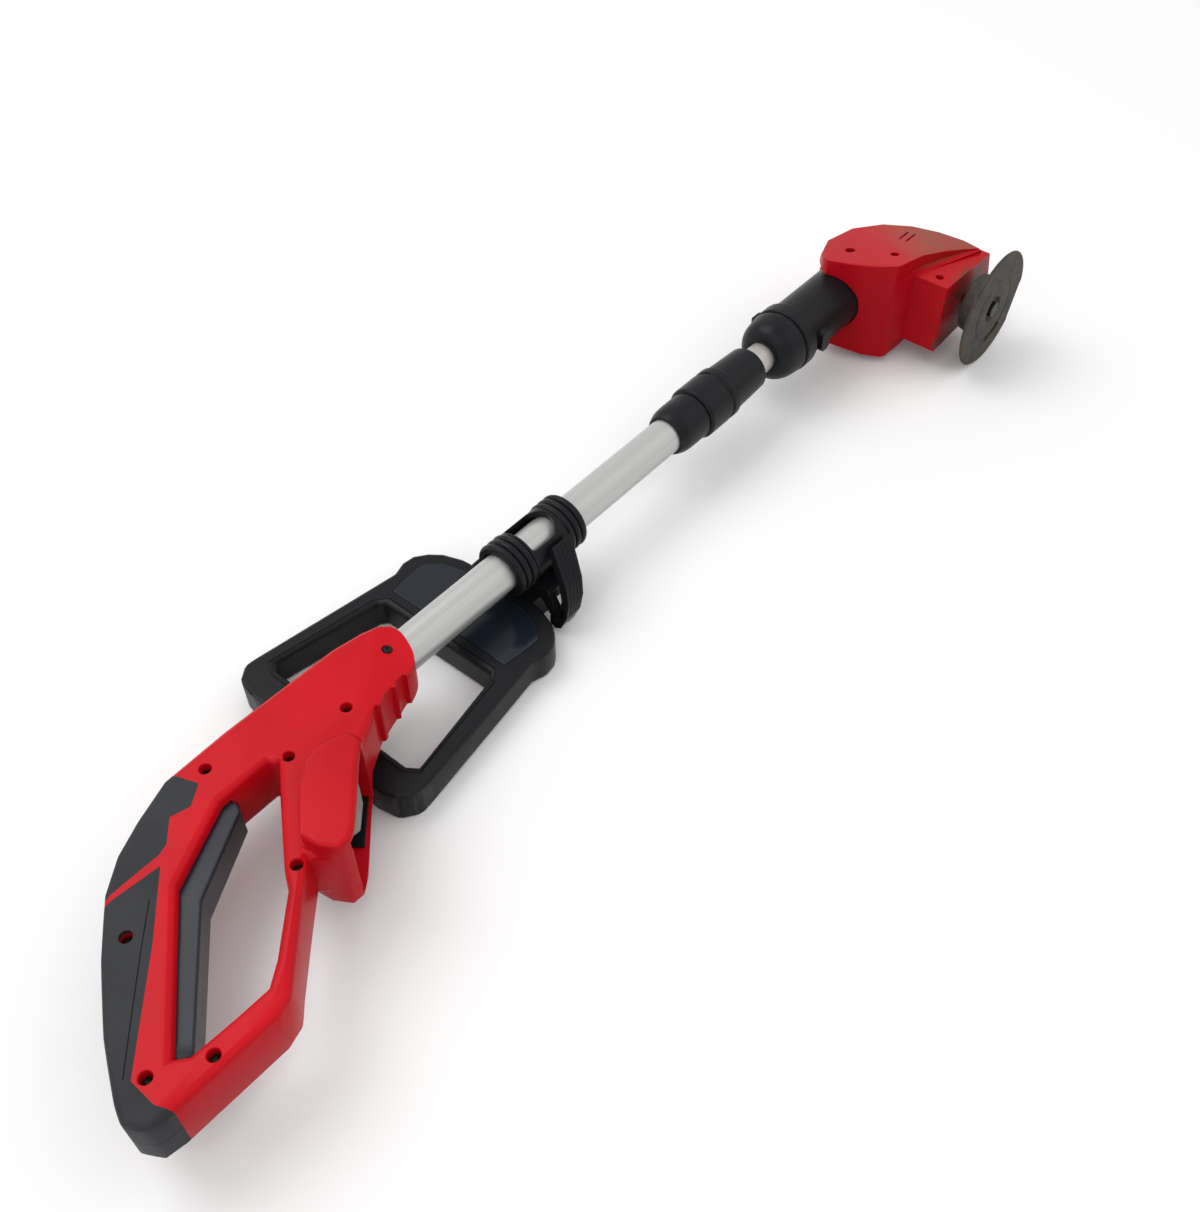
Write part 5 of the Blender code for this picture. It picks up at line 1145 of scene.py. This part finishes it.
class TRIMMER_OT_inner_parts(bpy.types.Operator):
    """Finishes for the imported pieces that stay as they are"""
    bl_idname = "trimmer.inner_parts"
    bl_label = "Inner parts"

    def execute(self, context):
        made = finishes(context.scene.trimmer_colours)
        for node, finish in HIDDEN_NODES.items():
            NODES[node].data.materials.clear()
            NODES[node].data.materials.append(made[finish])
        return {"FINISHED"}


# Stage

def pale_floor():
    """Matt white backdrop, seen white with the tool's shadow on it, and a calmer grey to what it lights."""
    made, tree, shader, _ = new_finish("painted_white_backdrop", rough=0.9, gloss=0.1)
    ray = put(tree, "ShaderNodeLightPath")
    seen = ray["Is Camera Ray"]
    for other in ("Is Glossy Ray", "Is Transmission Ray"):
        seen = put(tree, "ShaderNodeMath", {0: seen, 1: ray[other]}, operation="MAXIMUM")["Value"]
    base = put(tree, "ShaderNodeMix", {"A": (*FLOOR_LIT, 1.0), "B": (*FLOOR_SEEN, 1.0), "Factor": seen},
               data_type="RGBA")
    fill(tree, shader, {"Base Color": base["Result"]})
    return made


class TRIMMER_OT_stage(bpy.types.Operator):
    """Pale floor, soft lights and the camera"""
    bl_idname = "trimmer.stage"
    bl_label = "Stage"

    def execute(self, context):
        scene = context.scene
        nothing_selected()
        bpy.ops.mesh.primitive_plane_add(size=FLOOR_SIZE, location=(0.0, 0.0, 0.0))
        floor = context.object
        floor.name = "floor"
        floor.data.materials.append(pale_floor())
        for name, spot, size, power in LAMPS:
            bpy.ops.object.light_add(type="AREA", location=spot)
            lamp = context.object
            lamp.name = name
            lamp.data.size = size
            lamp.data.energy = power
            lamp.rotation_euler = (Vector(LAMP_TARGET) - Vector(spot)).to_track_quat("-Z", "Y").to_euler()
        world = scene.world or bpy.data.worlds.new("studio")
        scene.world = world
        world.use_nodes = True
        tree = world.node_tree
        ray = put(tree, "ShaderNodeLightPath")["Is Camera Ray"]
        level = put(tree, "ShaderNodeMath", {0: ray, 1: WORLD_LIGHT}, operation="MAXIMUM")["Value"]
        fill(tree, tree.nodes["Background"], {"Color": (1.0, 1.0, 1.0, 1.0), "Strength": level})
        bpy.ops.object.camera_add()
        camera = context.object
        camera.name = "camera"
        ahead, drop = math.cos(CAMERA_TILT), math.sin(CAMERA_TILT)
        way = Vector((math.cos(CAMERA_HEADING) * ahead, math.sin(CAMERA_HEADING) * ahead, -drop))
        camera.location = TOOL_ZERO + Vector(CAMERA_PLACE)
        camera.rotation_euler = way.to_track_quat("-Z", "Y").to_euler()
        camera.data.sensor_width = CAMERA_SENSOR
        camera.data.lens = CAMERA_LENS
        camera.data.clip_start = CAMERA_NEAR
        scene.camera = camera
        scene.view_settings.view_transform = "Standard"
        return {"FINISHED"}


STEPS = (
    TRIMMER_OT_handle_shells, TRIMMER_OT_grip_inlays, TRIMMER_OT_trigger, TRIMMER_OT_screws,
    TRIMMER_OT_contacts, TRIMMER_OT_tubes, TRIMMER_OT_twist_clamp, TRIMMER_OT_tube_clamp,
    TRIMMER_OT_cam_lever, TRIMMER_OT_aux_handle, TRIMMER_OT_neck, TRIMMER_OT_motor_head, TRIMMER_OT_disc,
    TRIMMER_OT_inner_parts, TRIMMER_OT_stage,
)


class TRIMMER_PT_panel(bpy.types.Panel):
    """Lists the trimmer's pieces, sizes and colours"""
    bl_idname = "TRIMMER_PT_panel"
    bl_label = "String trimmer"
    bl_space_type = "VIEW_3D"
    bl_region_type = "UI"
    bl_category = "Trimmer"

    def draw(self, context):
        layout = self.layout
        for group in (context.scene.trimmer_sizes, context.scene.trimmer_colours):
            for key in group.__annotations__:
                layout.prop(group, key)
        for step in STEPS:
            layout.operator(step.bl_idname)


CLASSES = (TrimmerColours, TrimmerSizes, *STEPS, TRIMMER_PT_panel)


def register():
    for item in CLASSES:
        bpy.utils.register_class(item)
    bpy.types.Scene.trimmer_colours = PointerProperty(type=TrimmerColours)
    bpy.types.Scene.trimmer_sizes = PointerProperty(type=TrimmerSizes)


def unregister():
    del bpy.types.Scene.trimmer_sizes
    del bpy.types.Scene.trimmer_colours
    for item in reversed(CLASSES):
        bpy.utils.unregister_class(item)


def main():
    register()
    for step in STEPS:
        group, name = step.bl_idname.split(".")
        getattr(getattr(bpy.ops, group), name)()


if __name__ == "__main__":
    main()
